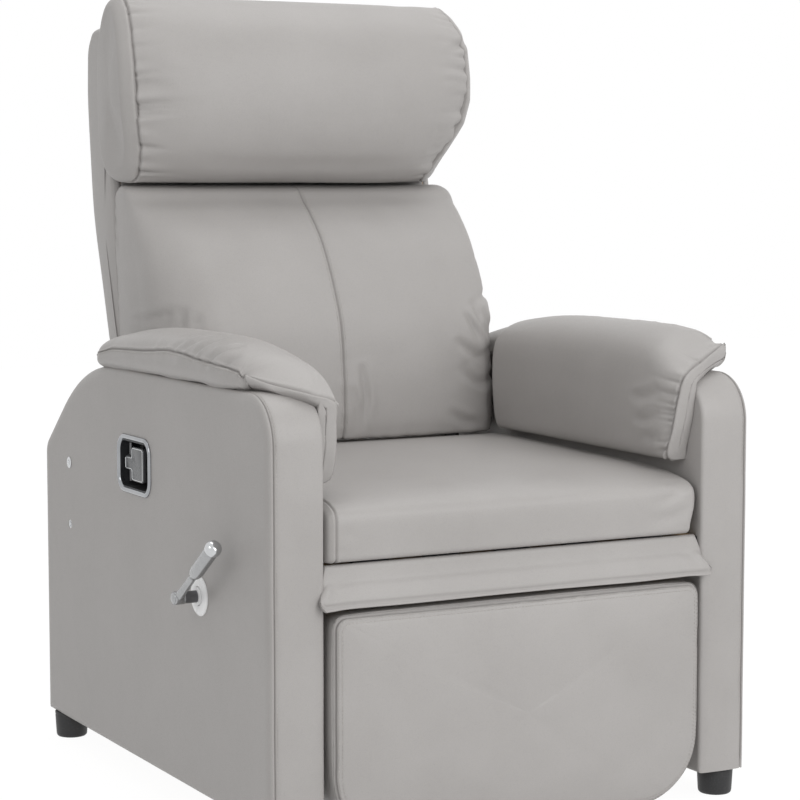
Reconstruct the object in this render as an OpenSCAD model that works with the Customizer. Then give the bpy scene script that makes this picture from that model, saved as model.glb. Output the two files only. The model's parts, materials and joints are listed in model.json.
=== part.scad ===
// Pedicure chair with a reclining back, a fold-out leg rest and padded arms.
// The origin is on the floor, midway between the side panels and at half their depth.
// +X is the sitter's left, -Y the front and +Z up. Lengths are millimetres, angles degrees.

/* [Side panels] */
// Width over both side panels
overall_w = 720; // [700:5:760]
// Depth of a side panel, front to rear
panel_d = 806; // [790:1:830]
// Height of the panels' flat top above the floor
panel_top = 583; // [575:1:600]
// Thickness of one side panel
panel_t = 76; // [72:1:84]
// Thickness of leather and foam on the panels
skin_t = 8; // [6:0.5:10]
// Radius of a panel's upper front corner
front_corner_r = 63; // [45:1:75]
// Radius of the arc that leads into the rear slope
rear_arc_r = 327; // [300:1:340]
// Slope of a panel's upper rear edge
rear_slope = 39; // [35:1:42]
// Distance from a panel's rear to the start of that arc
rear_arc_in = 284; // [270:1:300]
// Radius of the corner below the slope
rear_corner_r = 28; // [20:1:36]
// Thickness of the timber inside the panels
wood_t = 22; // [18:1:26]

/* [Feet and lower rails] */
// Height of the feet
foot_h = 39; // [34:1:44]
// Width of a foot where it meets the panel
foot_top_d = 50; // [46:1:56]
// Width of a foot at the floor
foot_tip_d = 46; // [40:1:50]
// Distance from a panel's end to the middle of its foot
foot_in = 34; // [34:1:50]
// Diameter of the stud that holds a foot
foot_stud_d = 8; // [6:1:10]
// Height of the lower cross rails
low_rail_h = 60; // [50:1:80]
// Distance from the panels' front to the lower front rail
low_front_in = 330; // [320:1:350]
// Distance from the panels' rear to the lower rear rail
low_rear_in = 32; // [24:1:60]

/* [Seat] */
// Gap between the seat cushion and a side panel
seat_gap = 12; // [8:1:18]
// Distance from the seat cushion's rear to the back's hinge
seat_rear_gap = 53; // [46:1:64]
// Height of the seat's front edge above the floor
seat_top = 453; // [448:1:458]
// Thickness of the seat cushion at its edge
seat_h = 83; // [78:1:88]
// Rounding of the seat cushion's sides
seat_edge_r = 12; // [8:1:20]
// How far the seat is fuller in the middle
seat_crown = 3; // [1:1:4]
// How far the seat's top rises towards the rear
seat_rise = 6; // [2:1:7]
// Distance from the panels' front to the seat's front
seat_in = 2; // [1:0.5:4]
// Height of the timber rails under the seat
rail_h = 34; // [30:1:38]
// Height of the rear rail under the seat
rear_rail_h = 20; // [16:1:22]
// Width of an elastic strap
web_w = 50; // [40:1:56]
// Thickness of an elastic strap
web_t = 1.8; // [1.2:0.1:2]
// Straps from front to rear under the seat
seat_straps = 5; // [4:1:6]

/* [Backrest] */
// Gap between the backrest and a side panel
back_gap = 12; // [9:1:16]
// Height of the backrest's frame over the lumbar cushion
back_over = 240; // [230:1:254]
// Height of the backrest shell's lower edge
back_bottom = 432; // [428:1:438]
// Distance from the panels' front to the back's hinge
hinge_in = 603; // [600:1:608]
// Height of the back's hinge
hinge_z = 389; // [386:1:392]
// Diameter of the hinge pins
hinge_pin_d = 16; // [14:1:18]
// Thickness of leather and board on the back shell
shell_t = 6; // [5:0.5:7]
// Height of the lumbar cushion
lumbar_h = 374; // [366:1:376]
// Depth of the lumbar cushion
lumbar_d = 226; // [220:1:228]
// Height of the headrest roll
head_h = 270; // [264:1:276]
// Depth of the headrest roll
head_d = 176; // [170:1:178]
// Width of the headrest roll at its fullest
head_w = 588; // [570:1:594]

/* [Arm pads] */
// Length of an arm pad
pad_l = 640; // [630:1:645]
// Distance from the panels' front to the pads' front
pad_in = 16; // [12:1:24]
// Height of a pad's crown above the panel
pad_h = 63; // [58:1:68]
// Height that a pad hangs down inside the panel
pad_drop = 116; // [110:1:118]
// Thickness of the pad inside the panel
pad_inner_t = 37; // [32:1:40]
// Width that a pad stands out past the panel
pad_over = 11; // [6:1:12]

/* [Leg rest] */
// Gap between the leg rest's pad and a side panel
leg_gap = 9; // [7:1:12]
// Height of the leg rest's lower edge above the floor
leg_bottom = 10; // [8:1:14]
// Thickness of the leg rest's pad
leg_pad_t = 72; // [66:1:74]
// How far the pad stands out past the panels' front
leg_out = 20; // [16:1:22]
// Radius of the pad's lower corners
leg_corner_r = 92; // [70:1:100]
// Thickness of the board behind the pad
leg_board_t = 16; // [12:1:18]
// Length of a swing arm between its pivots
swing_arm_l = 180; // [176:1:184]
// Length of a link between its pivots
link_l = 150; // [147:1:153]
// Width of the arms and links
bar_w = 26; // [22:1:28]
// Thickness of the arms, links and plates
bar_t = 6; // [5:0.5:6]
// Diameter of the leg rest's pivot pins
pivot_d = 12; // [10:1:14]
// Height of the leather flap between seat and leg rest
flap_h = 48; // [44:1:49]
// Thickness of that flap
flap_t = 9; // [7:1:10]

/* [Cup handle] */
// Width of the chrome bezel, front to rear
cup_w = 121; // [115:1:126]
// Height of the chrome bezel
cup_h = 82; // [78:1:86]
// Corner radius of the bezel
cup_r = 24; // [16:1:28]
// Width of the bezel's rim
cup_rim = 9; // [7:1:10]
// Depth of the finger recess
cup_depth = 34; // [28:1:36]
// Distance from the panels' front to the middle of the bezel
cup_in = 439.5; // [436:0.5:444]
// Height of the middle of the bezel
cup_z = 452.5; // [448:0.5:456]
// Width of the paddle's grip, up and down
grip_h = 52; // [46:1:54]
// Thickness of the paddle
paddle_t = 5; // [4:0.5:6]

/* [Lock lever] */
// Distance from the panels' front to the lever's shaft
lever_in = 214; // [210:1:218]
// Height of the lever's shaft
lever_z = 305; // [302:1:308]
// Diameter of the lever's shaft
lever_shaft_d = 16; // [14:1:18]
// Length of the lever from its shaft to its tip
lever_l = 148; // [140:1:156]
// Angle of the lever above the horizontal
lever_angle = 35; // [30:1:40]
// Distance from the panel to the middle of the lever
lever_stand = 31; // [28:1:34]
// Diameter of the lever's grip
lever_grip_d = 19; // [17:1:21]
// Diameter of the round cover plate
escutcheon_d = 53; // [48:1:58]

/* [Tray inserts] */
// Thread of the two inserts for a side tray
insert_d = 8; // [6:1:10]
// Distance between the two inserts
insert_pitch = 92; // [88:1:96]
// Distance from the panels' rear to the inserts
insert_in = 107; // [104:1:112]
// Height of the upper insert
insert_z = 429; // [424:1:434]

/* [Gas strut] */
// Outer diameter of the strut's cylinder
strut_d = 26; // [22:1:28]
// Diameter of the strut's rod
rod_d = 12; // [10:1:12]
// Length of the crank between the hinge and the strut
crank_l = 75; // [72:1:78]
// Diameter of the crossbar that carries the strut
crossbar_d = 20; // [18:1:22]
// Distance from the panels' front to the crossbar
crossbar_in = 253; // [250:1:258]
// Height of the crossbar
crossbar_z = 285; // [282:1:288]

/* [Hidden] */
$fn = 48;
fit = 0.3;
cut = 5;
run = 0.05;
panel_front = -panel_d / 2;
panel_rear = panel_d / 2;
x_out = overall_w / 2;
x_in = x_out - panel_t;
foot_x = x_out - foot_top_d / 2;
arc_steps = 10;
long_arc_steps = 14;

// Panel outline
slope_n = [sin(rear_slope), cos(rear_slope)];
front_arc_c = [panel_front + front_corner_r, panel_top - front_corner_r];
rear_arc_c = [panel_rear - rear_arc_in, panel_top - rear_arc_r];
slope_level = rear_arc_c * slope_n + rear_arc_r;
rear_corner_y = panel_rear - rear_corner_r;
rear_corner_c = [rear_corner_y, (slope_level - rear_corner_r - rear_corner_y * slope_n.x) / slope_n.y];

// Widths between the side panels
seat_w = 2 * (x_in - seat_gap);
back_w = 2 * (x_in - back_gap);
leg_w = 2 * (x_in - leg_gap);

// Height of the seat's rails, cushion and flap
seat_bottom = seat_top - seat_h;
rail_top = seat_bottom - fit - 2 * web_t;
seat_front = panel_front + seat_in;
seat_d = hinge_in - seat_in - seat_rear_gap;
seat_rear = seat_front + seat_d;

// Timber and steel sizes inside
rail_t = 22;
rail_in = 19;
clear = 3;
board_w = 80;
tab = 20;
rail_front = panel_front + rail_in;
rail_rear = seat_rear - 2 * clear;
plate_x = x_in - bar_t;
arm_x = plate_x - clear - bar_t;
link_x = arm_x - clear - bar_t;
bracket_x = link_x - clear - bar_t;
tube_d = 18;

// Back hinge and gas strut, as [y, z]
hinge_p = [panel_front + hinge_in, hinge_z];
crank_p = hinge_p - [0, crank_l];
strut_p = [panel_front + crossbar_in, crossbar_z];
strut_l = norm(crank_p - strut_p);
strut_angle = atan2(crank_p.y - strut_p.y, crank_p.x - strut_p.x);
back_arm_gap = 2;
back_arm_x = back_w / 2 - shell_t - back_arm_gap;
post_x = back_arm_x - bar_t;
crank_pin_d = 9;
crank_play = 4.5;
crank_bar_w = 22;
ring_wall = 4;
strut_wall = 3;
strut_body_share = 0.58;

// Side of the backrest, as shares of its depth and height
shell_in = 653;
back_d = 192;
lumbar_lift = 9;
back_top = seat_top + lumbar_lift + lumbar_h + back_over;
back_h = back_top - back_bottom;
back_front = panel_front + shell_in;
back_front_shares = [
    [0.04, 0], [0.24, 0.2], [0.344, 0.387], [0.443, 0.635], [0.615, 0.758], [0.604, 0.921], [0.512, 0.981]
];
back_rear_shares = [
    [0.635, 1], [0.844, 0.98], [0.969, 0.906], [1, 0.808], [0.891, 0.547], [0.594, 0.266], [0.26, 0]
];
post_height_shares = [0.02, 0.2, 0.387, 0.547, 0.635, 0.758, 0.808, 0.9];
back_rail_shares = [0.03, 0.6, 0.86];
back_rail_share = 0.035;
hinge_arm_shares = [0.1, 0.3];
hinge_knee_share = 0.8;
back_strap_shares = [0.1, 0.2, 0.3, 0.42, 0.54];

// Cushions of the back, as shares of their own depth and height
lumbar_in = 507;
lumbar_front = panel_front + lumbar_in;
lumbar_bottom = seat_top + lumbar_lift;
lumbar_edge_r = 18;
lumbar_fall_share = 0.1;
seam_w = 5;
seam_dip = 3;
lumbar_shares = [
    [0.71, 0.99], [0.63, 0.943], [0.523, 0.895], [0.338, 0.784], [0.171, 0.624], [0.054, 0.468],
    [0.013, 0.311], [0, 0.151], [0.04, 0.03], [0.2, 0], [0.5, 0], [0.62, 0.03], [0.8, 0.2],
    [0.925, 0.581], [0.98, 0.93], [0.88, 1]
];
lumbar_x_shares = [-1, -0.985, -0.95, -0.88, -0.72, -0.5, -0.25, -0.06, -0.02, 0,
    0.02, 0.06, 0.25, 0.5, 0.72, 0.88, 0.95, 0.985, 1];
head_in = 588;
head_front = panel_front + head_in;
head_bottom = lumbar_bottom + lumbar_h + 2 * clear;
head_edge_r = 20;
head_fall_share = 0.3;
head_shares = [
    [0.82, 0.04], [0.985, 0.3], [0.98, 0.68], [0.87, 0.86], [0.65, 1], [0.4, 0.985],
    [0.17, 0.86], [0.04, 0.66], [0, 0.44], [0.05, 0.215], [0.21, 0.06], [0.44, 0]
];
head_narrow = 1.3;
head_wide_shares = [
    [0, 0.74], [0.08, 0.82], [0.18, 0.88], [0.27, 0.93], [0.34, 0.965], [0.47, 0.995],
    [0.6, 1], [0.75, 1], [0.88, 0.98], [0.95, 0.95], [1, 0.91]
];
head_x_shares = [-1, -0.985, -0.96, -0.91, -0.82, -0.66, -0.45, -0.22, 0,
    0.22, 0.45, 0.66, 0.82, 0.91, 0.96, 0.985, 1];

// Arm pads, as shares of a pad's own length, width, crown and drop
pad_front = panel_front + pad_in;
pad_seat_z = panel_top + fit;
pad_in_x = x_in - fit;
pad_stations = 22;
pad_nose_share = 0.3;
pad_tail_share = 0.42;
pad_turn_share = 0.09;
pad_hang_shares = [0.07, 0.735, 0.785];
pad_open_share = 0.06;
pad_fall_share = 0.98;
pad_least_share = 0.05;
pad_low_share = 0.12;
pad_nose_power = 2.4;
pad_tail_fall_share = 0.9;
pad_tail_power = 2.6;
pad_front_open_share = 0.4;
pad_rear_open_share = 0.78;
pad_heart_share = 0.2;
pad_front_draw = 80;
pad_rear_draw = 50;
pad_top_shares = [
    [0.13, 0], [0.03, 0.12], [0, 0.35], [0.05, 0.68], [0.18, 0.9], [0.38, 1],
    [0.6, 0.96], [0.8, 0.78], [0.94, 0.48], [1, 0.05]
];
pad_inner_shares = [[-0.05, 0.35], [0, 0.7], [0.12, 0.93], [0.45, 1], [1, 0.95], [1, 0.5], [1, 0]];

// Seat cushion
ring_points = 32;
seat_stations = 16;
seat_nose_power = 0.55;
seat_under_power = 0.26;
seat_rear_power = 0.3;
seat_side_power = 0.42;
side_draw = 1;
seat_edge_share = 0.7;

// Leg rest linkage, as [y, z]
flap_rod_d = 5;
flap_sleeve_d = 11;
flap_in = 13;
flap_drop = 3;
flap_gap = 11;
flap_shares = [
    [-0.4, 0], [-0.9, -0.3], [-1.5, -0.62], [-2.4, -0.93], [-2.7, -1],
    [-1.7, -1], [-1.4, -0.85], [-0.5, -0.6], [0.1, -0.28], [0.4, 0]
];
flap_p = [panel_front + flap_in, rail_top - flap_drop];
leg_top = flap_p.y - flap_h - flap_gap;
leg_h = leg_top - leg_bottom;
leg_front = panel_front - leg_out;
leg_back = leg_front + leg_pad_t;
leg_board_front = leg_back + fit;
leg_board_back = leg_board_front + leg_board_t;
leg_pad_stations = 18;
leg_edge_r = 14;
leg_bulge = 7;
leg_side_power = 0.13;
leg_p_in = 168;
leg_p_drop = 56;
leg_q_in = 29;
leg_q_rise = 225;
leg_p = [panel_front + leg_p_in, rail_top - leg_p_drop];
leg_q = [leg_board_back + leg_q_in, leg_bottom + leg_q_rise];
leg_span = leg_q - leg_p;
leg_dir = leg_span / norm(leg_span);
elbow_run = (leg_span * leg_span + pow(swing_arm_l, 2) - pow(link_l, 2)) / (2 * norm(leg_span));
elbow_rise = sqrt(pow(swing_arm_l, 2) - pow(elbow_run, 2));
elbow_p = leg_p + leg_dir * elbow_run + [-leg_dir.y, leg_dir.x] * elbow_rise;
arm_tube_share = 0.72;

// Cup handle, lever and inserts, as [y, z]
cup_p = [panel_front + cup_in, cup_z];
lever_p = [panel_front + lever_in, lever_z];
insert_p = [panel_rear - insert_in, insert_z];
insert_low_p = insert_p - [0, insert_pitch];
dish_w = cup_w - 2 * cup_rim;
dish_h = cup_h - 2 * cup_rim;
dish_r = cup_r - cup_rim;
dish_t = 2;
bezel_t = 3;
paddle_pin_d = 6;
paddle_sleeve_d = 11;
paddle_edge = 7;
paddle_sink = 8;
paddle_pin_y = cup_p.x + dish_w / 2 - paddle_edge;
paddle_pin_x = x_out - paddle_sink - paddle_t;
paddle_corner = dish_r - paddle_edge + paddle_pin_d / 2;
paddle_pin_h = dish_h - 2 * (dish_r - sqrt(dish_r * dish_r - paddle_corner * paddle_corner) + fit);
grip_w = 38;
grip_r = 6;
neck_h = 20;
bush_wall = 4;
bush_d = lever_shaft_d + 2 * bush_wall;
bush_lip = 6;
plate_t = 4;
cam_d = 28;
cam_off = 4;
cam_w = 16;
lever_hub_d = 25;
lever_hub_w = 14;
lever_rod_d = 10;
cap_d = 22;
grip_start_share = 0.45;
cap_start_share = 0.92;
cap_round = 4;
collar_d = 17;
collar_t = 1.5;
insert_wall = 2;

// Latch in the right panel and the cable that leads to it
latch_p = (leg_p + elbow_p) / 2;
latch_size = [36, 36, 28];
cable_d = 5;
cable_x0 = x_out - cup_depth / 2;
cable_x1 = x_in + skin_t + latch_size.x / 2;
cable_from = [cup_p.x + dish_w / 3, cup_p.y - dish_h / 2 - dish_t];
cable_to = latch_p + [latch_size.y / 2, 0];
cable_pull = 130;
cable_rings = 24;
cable_sides = 8;

leather_c = [0.66, 0.64, 0.62];
timber_c = [0.78, 0.64, 0.45];
steel_c = [0.35, 0.36, 0.38];
chrome_c = [0.82, 0.83, 0.85];
black_c = [0.08, 0.08, 0.09];
web_c = [0.2, 0.2, 0.22];
white_c = [0.93, 0.93, 0.92];

// Smooth step from 0 to 1
function ramp(t) = let (c = min(max(t, 0), 1)) c * c * (3 - 2 * c);

// Power of a number that keeps its sign
function sign_pow(v, p) = sign(v) * pow(abs(v), p);

// How far a rounded edge of radius r draws in at distance x from the middle of a width 2 * w
function edge_draw(x, w, r) = abs(x) <= w - r ? 0 : r - sqrt(max(r * r - pow(abs(x) - (w - r), 2), 0));

// Points along an arc, from angle a0 to a1
function arc_points(c, r, a0, a1, n) =
    [for (k = [0:n]) c + r * [cos(a0 + (a1 - a0) * k / n), sin(a0 + (a1 - a0) * k / n)]];

// Points of a closed smooth curve through pts, m to each stretch
function smooth_loop(pts, m) = let (n = len(pts)) [
    for (i = [0:n - 1], k = [0:m - 1])
        let (t = k / m, a = pts[(i + n - 1) % n], b = pts[i], c = pts[(i + 1) % n], d = pts[(i + 2) % n])
        (2 * b + (c - a) * t + (2 * a - 5 * b + 4 * c - d) * t * t + (3 * b - a - 3 * c + d) * t * t * t) / 2
];

// Points of an outline given as shares of a box from corner p with size s
function place(shares, p, s) = [for (q = shares) [p.x + q.x * s.x, p.y + q.y * s.y]];

// Side panel outline in [y, z], drawn in by i all round
function side_outline(i) = concat(
    [[panel_front + i, foot_h + i]],
    arc_points(front_arc_c, front_corner_r - i, 180, 90, arc_steps),
    arc_points(rear_arc_c, rear_arc_r - i, 90, 90 - rear_slope, long_arc_steps),
    arc_points(rear_corner_c, rear_corner_r - i, 90 - rear_slope, 0, arc_steps),
    [[panel_rear - i, foot_h + i]]
);

// The same outline without its two lower corners
function frame_top(i) = [for (k = [1:len(side_outline(i)) - 2]) side_outline(i)[k]];

// Faces and end fans of a solid through rings that follow each other along their own normal
module loft(rings, from, to) {
    m = len(rings);
    n = len(rings[0]);
    sides = [for (i = [0:m - 2], j = [0:n - 1]) let (a = i * n + j, b = i * n + (j + 1) % n)
        each [[a, b + n, b], [a, a + n, b + n]]];
    near = [for (j = [0:n - 1]) [m * n, j, (j + 1) % n]];
    far = [for (j = [0:n - 1]) [m * n + 1, (m - 1) * n + (j + 1) % n, (m - 1) * n + j]];
    polyhedron(concat([for (r = rings) each r], [from, to]), concat(sides, near, far), convexity = 6);
}

module yz(x0, x1) {
    translate([x0, 0, 0]) rotate([90, 0, 90]) linear_extrude(x1 - x0) children();
}

module xz(y0, y1) {
    translate([0, y1, 0]) rotate([90, 0, 0]) linear_extrude(y1 - y0) children();
}

module on_side(side) {
    if (side < 0) mirror([1, 0, 0]) children();
    else children();
}

module both_sides() {
    children();
    mirror([1, 0, 0]) children();
}

module rod_x(d, x0, x1, p) {
    translate([x0, p.x, p.y]) rotate([0, 90, 0]) cylinder(d = d, h = x1 - x0);
}

module block(a, b) {
    translate(a) cube(b - a);
}

module spot(p, d) {
    translate(p) circle(d = d);
}

module span(a, b) {
    translate(a) square(b - a);
}

module bar(p, q, w) {
    n = [p.y - q.y, q.x - p.x] / norm(q - p) * w / 2;
    spot(p, w);
    spot(q, w);
    polygon([p - n, q - n, q + n, p + n]);
}

module round_rect(w, h, r) {
    square([w - 2 * r, h], center = true);
    square([w, h - 2 * r], center = true);
    for (sx = [-1, 1], sy = [-1, 1]) translate([sx * (w / 2 - r), sy * (h / 2 - r)]) circle(r);
}

// Openings in the right panel's outer face
module face_holes() {
    over = 2 * dish_t + 2 * fit;
    translate(cup_p) round_rect(dish_w + over, dish_h + over, dish_r + dish_t);
    spot(lever_p, bush_d + 2 * fit);
    for (p = [insert_p, insert_low_p]) spot(p, insert_d + 2 * insert_wall + 2 * fit);
}

module side_face(side) {
    color(leather_c) on_side(side) yz(x_out - skin_t, x_out) difference() {
        polygon(side_outline(0));
        if (side < 0) face_holes();
    }
}

module side_band(side) {
    color(leather_c) on_side(side) yz(x_in + skin_t, x_out - skin_t) difference() {
        polygon(side_outline(0));
        polygon(side_outline(skin_t));
        span([panel_front + skin_t, foot_h - cut], [panel_rear - skin_t, foot_h + skin_t + cut]);
    }
}

module side_lining(side) {
    color(leather_c) on_side(side) yz(x_in, x_in + skin_t) difference() {
        polygon(side_outline(0));
        if (side < 0) {
            spot(lever_p, bush_d + 2 * fit);
            spot(latch_p, pivot_d + 2 * fit);
        }
    }
}

module side_frame(side) {
    in = skin_t + fit;
    post_y = lever_p.x - board_w - rail_t;
    color(timber_c) on_side(side) difference() {
        yz(x_in + skin_t, x_out - skin_t) difference() {
            polygon(concat([[panel_front + in, foot_h]], frame_top(in), [[panel_rear - in, foot_h]]));
            difference() {
                polygon(side_outline(in + wood_t));
                span([post_y, foot_h], [post_y + rail_t, panel_top]);
                span([hinge_p.x - board_w / 2, foot_h], [hinge_p.x + board_w / 2, panel_top]);
                span([hinge_p.x, insert_low_p.y - tab], [panel_rear, insert_p.y + tab]);
            }
            if (side < 0) for (p = [insert_p, insert_low_p]) spot(p, insert_d + 2 * insert_wall + 2 * fit);
        }
        for (y = [panel_front + foot_in, panel_rear - foot_in])
            translate([foot_x, y, foot_h - cut]) cylinder(d = foot_stud_d + 2 * fit, h = cut + tab);
    }
}

module lower_rail(y) {
    color(timber_c) block([-x_in, y, foot_h + clear], [x_in, y + rail_t, foot_h + clear + low_rail_h]);
}

module rail_brackets() {
    z0 = foot_h + 2 * clear;
    z1 = foot_h + low_rail_h;
    front_y = panel_front + low_front_in + rail_t;
    rear_y = panel_rear - low_rear_in - rail_t;
    color(steel_c) both_sides() {
        block([x_in - clear, front_y, z0], [x_in, front_y + 2 * tab, z1]);
        block([x_in - 2 * tab, front_y, z0], [x_in - clear, front_y + clear, z1]);
        block([x_in - clear, rear_y - 2 * tab, z0], [x_in, rear_y, z1]);
        block([x_in - 2 * tab, rear_y - clear, z0], [x_in - clear, rear_y, z1]);
    }
}

module foot(side, y) {
    color(black_c) translate([side * foot_x, y, 0]) difference() {
        cylinder(d1 = foot_tip_d, d2 = foot_top_d, h = foot_h);
        translate([0, 0, foot_h / 3]) cylinder(d = foot_stud_d + 2 * fit, h = foot_h);
    }
}

module foot_studs() {
    color(steel_c) both_sides() for (y = [panel_front + foot_in, panel_rear - foot_in])
        translate([foot_x, y, foot_h / 3]) cylinder(d = foot_stud_d, h = foot_h * 2 / 3 + tab - clear);
}

// Height shares of a pad's crown and of its drop at share v of its length
function pad_crown(v) = v < pad_nose_share
    ? pad_low_share + (1 - pad_low_share) * (1 - pow(1 - v / pad_nose_share, pad_nose_power))
    : v < pad_tail_share ? 1
    : 1 - pad_tail_fall_share * pow((v - pad_tail_share) / (1 - pad_tail_share), pad_tail_power);
function pad_hang(v) = max(pad_least_share, ramp(v / pad_hang_shares[0])
    * (1 - ramp((v - pad_hang_shares[1]) / (pad_hang_shares[2] - pad_hang_shares[1]))));
function pad_outer_x(v) = x_out + pad_over - pad_front_draw * (1 - ramp(v / pad_turn_share))
    - pad_rear_draw * ramp((v - 1 + 2 * pad_turn_share) / (2 * pad_turn_share));
function pad_inner_x(v) = pad_in_x - pad_inner_t + pad_inner_t * (
    pad_front_open_share * (1 - ramp(v / pad_turn_share))
    + pad_rear_open_share * ramp((v - pad_hang_shares[1]) / pad_open_share));

// How far the panel's top has fallen at share v of a pad's length
function pad_fall(v) = let (y = pad_front + v * pad_l - rear_arc_c.x)
    y < 0 ? 0 : pad_fall_share * (rear_arc_r - sqrt(rear_arc_r * rear_arc_r - y * y));

// Cross-section of a pad in [x, z] at share v of its length
function pad_section(v) = let (
    xo = pad_outer_x(v), xi = pad_inner_x(v), w = xo - xi, z = pad_seat_z - pad_fall(v),
    h = pad_h * pad_crown(v) + pad_fall(v), d = pad_drop * pad_hang(v)
) concat(
    [for (q = pad_top_shares) [xo - q.x * w, z + q.y * h]],
    [for (q = pad_inner_shares) [xi + q.x * (pad_in_x - xi), z - q.y * d]],
    [[(pad_in_x + xo - pad_top_shares[0].x * w) / 2, z]]
);
function pad_heart(v, y) = [
    (pad_inner_x(v) + pad_in_x) / 2, y, pad_seat_z - pad_fall(v) + pad_h * pad_crown(v) * pad_heart_share
];

module arm_pad(side) {
    shares = [for (k = [0:pad_stations]) (1 + cos(180 * k / pad_stations)) / 2];
    rings = [for (v = shares) [for (q = pad_section(v)) [q.x, pad_front + v * pad_l, q.y]]];
    color(leather_c) on_side(side) loft(rings, pad_heart(1, pad_front + pad_l), pad_heart(0, pad_front));
}

module seat_rail_front() {
    color(timber_c) block([-x_in, rail_front, rail_top - rail_h], [x_in, rail_front + rail_t, rail_top]);
}

module seat_rail_rear() {
    color(timber_c) block([rail_t - x_in, rail_rear - rail_t, rail_top - rear_rail_h],
        [x_in - rail_t, rail_rear, rail_top]);
}

module seat_rail_side(side) {
    color(timber_c) on_side(side)
        block([x_in - rail_t, rail_front + rail_t, rail_top - rail_h], [x_in, rail_rear, rail_top]);
}

module seat_webbing() {
    pitch = (2 * x_in - 2 * rail_t) / seat_straps;
    run_y = rail_rear - rail_front;
    color(web_c) {
        for (k = [0:seat_straps - 1]) let (x = (k + 0.5) * pitch - x_in + rail_t)
            block([x - web_w / 2, rail_front, rail_top], [x + web_w / 2, rail_rear, rail_top + web_t]);
        for (k = [1:seat_straps - 1]) let (y = rail_front + k * run_y / seat_straps, z = rail_top + web_t)
            block([rail_t - x_in, y - web_w / 2, z], [x_in - rail_t, y + web_w / 2, z + web_t]);
    }
}

// Profile of the seat cushion in [y, z] at distance x from the middle
function seat_ring(x) = let (
    e = edge_draw(x, seat_w / 2, seat_edge_r), hd = seat_d / 2 - e, hz = seat_h / 2 - e * seat_edge_share,
    full = seat_crown * (1 - pow(2 * x / seat_w, 2))
) [for (k = [0:ring_points - 1]) let (
    a = 360 * (k + 0.5) / ring_points,
    c = sign_pow(cos(a), cos(a) > 0 ? seat_rear_power : sin(a) < 0 ? seat_under_power : seat_nose_power),
    s = sign_pow(sin(a), sin(a) < 0 ? seat_under_power : seat_side_power),
    draw = side_draw * pow(2 * x / seat_w, 6) * (1 - c * c),
    lift = s > 0 ? (full * (1 - c * c) + seat_rise * (1 + c) / 2) * s : 0
) [x - sign(x) * draw, seat_front + seat_d / 2 + hd * c, seat_bottom + seat_h / 2 + hz * s + lift]];

module seat_cushion() {
    xs = [for (k = [0:seat_stations]) -cos(180 * k / seat_stations) * seat_w / 2];
    mid = [0, seat_front + seat_d / 2, seat_bottom + seat_h / 2];
    color(leather_c) loft([for (x = xs) seat_ring(x)], mid - [seat_w / 2, 0, 0], mid + [seat_w / 2, 0, 0]);
}

module mechanism_plates() {
    color(steel_c) both_sides() yz(plate_x, x_in) difference() {
        span([leg_p.x - tab, strut_p.y - tab], [strut_p.x + tab, rail_top - rail_h]);
        spot(lever_p, lever_shaft_d + 2 * run);
    }
}

module crossbar() {
    color(steel_c) rod_x(crossbar_d, -plate_x, plate_x, strut_p);
}

module leg_pivot_pins() {
    color(chrome_c) both_sides() {
        rod_x(pivot_d, arm_x - fit, plate_x, leg_p);
        rod_x(tube_d, arm_x - clear + fit, arm_x - fit, leg_p);
        rod_x(tube_d, arm_x + bar_t + fit, plate_x, leg_p);
    }
}

module hinge_plates() {
    color(steel_c) both_sides() yz(plate_x, x_in)
        span(hinge_p - [board_w / 2, board_w / 2], hinge_p + [board_w / 2, board_w / 2]);
}

module hinge_pins() {
    color(chrome_c) both_sides() rod_x(hinge_pin_d, post_x - 2 * clear, plate_x, hinge_p);
}

module cup_bezel() {
    color(chrome_c) on_side(-1) yz(x_out, x_out + bezel_t) translate(cup_p) difference() {
        round_rect(cup_w, cup_h, cup_r);
        round_rect(dish_w, dish_h, dish_r);
    }
}

module cup_dish() {
    color(black_c) on_side(-1) difference() {
        yz(x_out - cup_depth, x_out) translate(cup_p)
            round_rect(dish_w + 2 * dish_t, dish_h + 2 * dish_t, dish_r + dish_t);
        yz(x_out - cup_depth + dish_t, x_out + cut) translate(cup_p) round_rect(dish_w, dish_h, dish_r);
    }
}

module paddle_pin() {
    color(chrome_c) on_side(-1) translate([paddle_pin_x, paddle_pin_y, cup_p.y - paddle_pin_h / 2])
        cylinder(d = paddle_pin_d, h = paddle_pin_h);
}

module pull_paddle() {
    grip_y = cup_p.x - dish_w / 2 + grip_w / 2 + clear;
    color(black_c) on_side(-1) difference() {
        union() {
            translate([paddle_pin_x, paddle_pin_y, cup_p.y - neck_h / 2])
                cylinder(d = paddle_sleeve_d, h = neck_h);
            yz(paddle_pin_x, paddle_pin_x + paddle_t)
                span([grip_y, cup_p.y - neck_h / 2], [paddle_pin_y, cup_p.y + neck_h / 2]);
            yz(paddle_pin_x, paddle_pin_x + paddle_t) translate([grip_y, cup_p.y])
                round_rect(grip_w, grip_h, grip_r);
        }
        translate([paddle_pin_x, paddle_pin_y, cup_p.y - dish_h / 2])
            cylinder(d = paddle_pin_d + 2 * run, h = dish_h);
    }
}

// Centre line of the release cable in [y, z] at share t, and its direction
function cable_point(t) = pow(1 - t, 3) * cable_from + 3 * t * pow(1 - t, 2) * (cable_from - [0, cable_pull])
    + 3 * t * t * (1 - t) * (cable_to + [cable_pull, 0]) + pow(t, 3) * cable_to;
function cable_way(t) = let (
    h = 0.001, d = cable_point(min(t + h, 1)) - cable_point(max(t - h, 0))
) d / norm(d);

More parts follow.
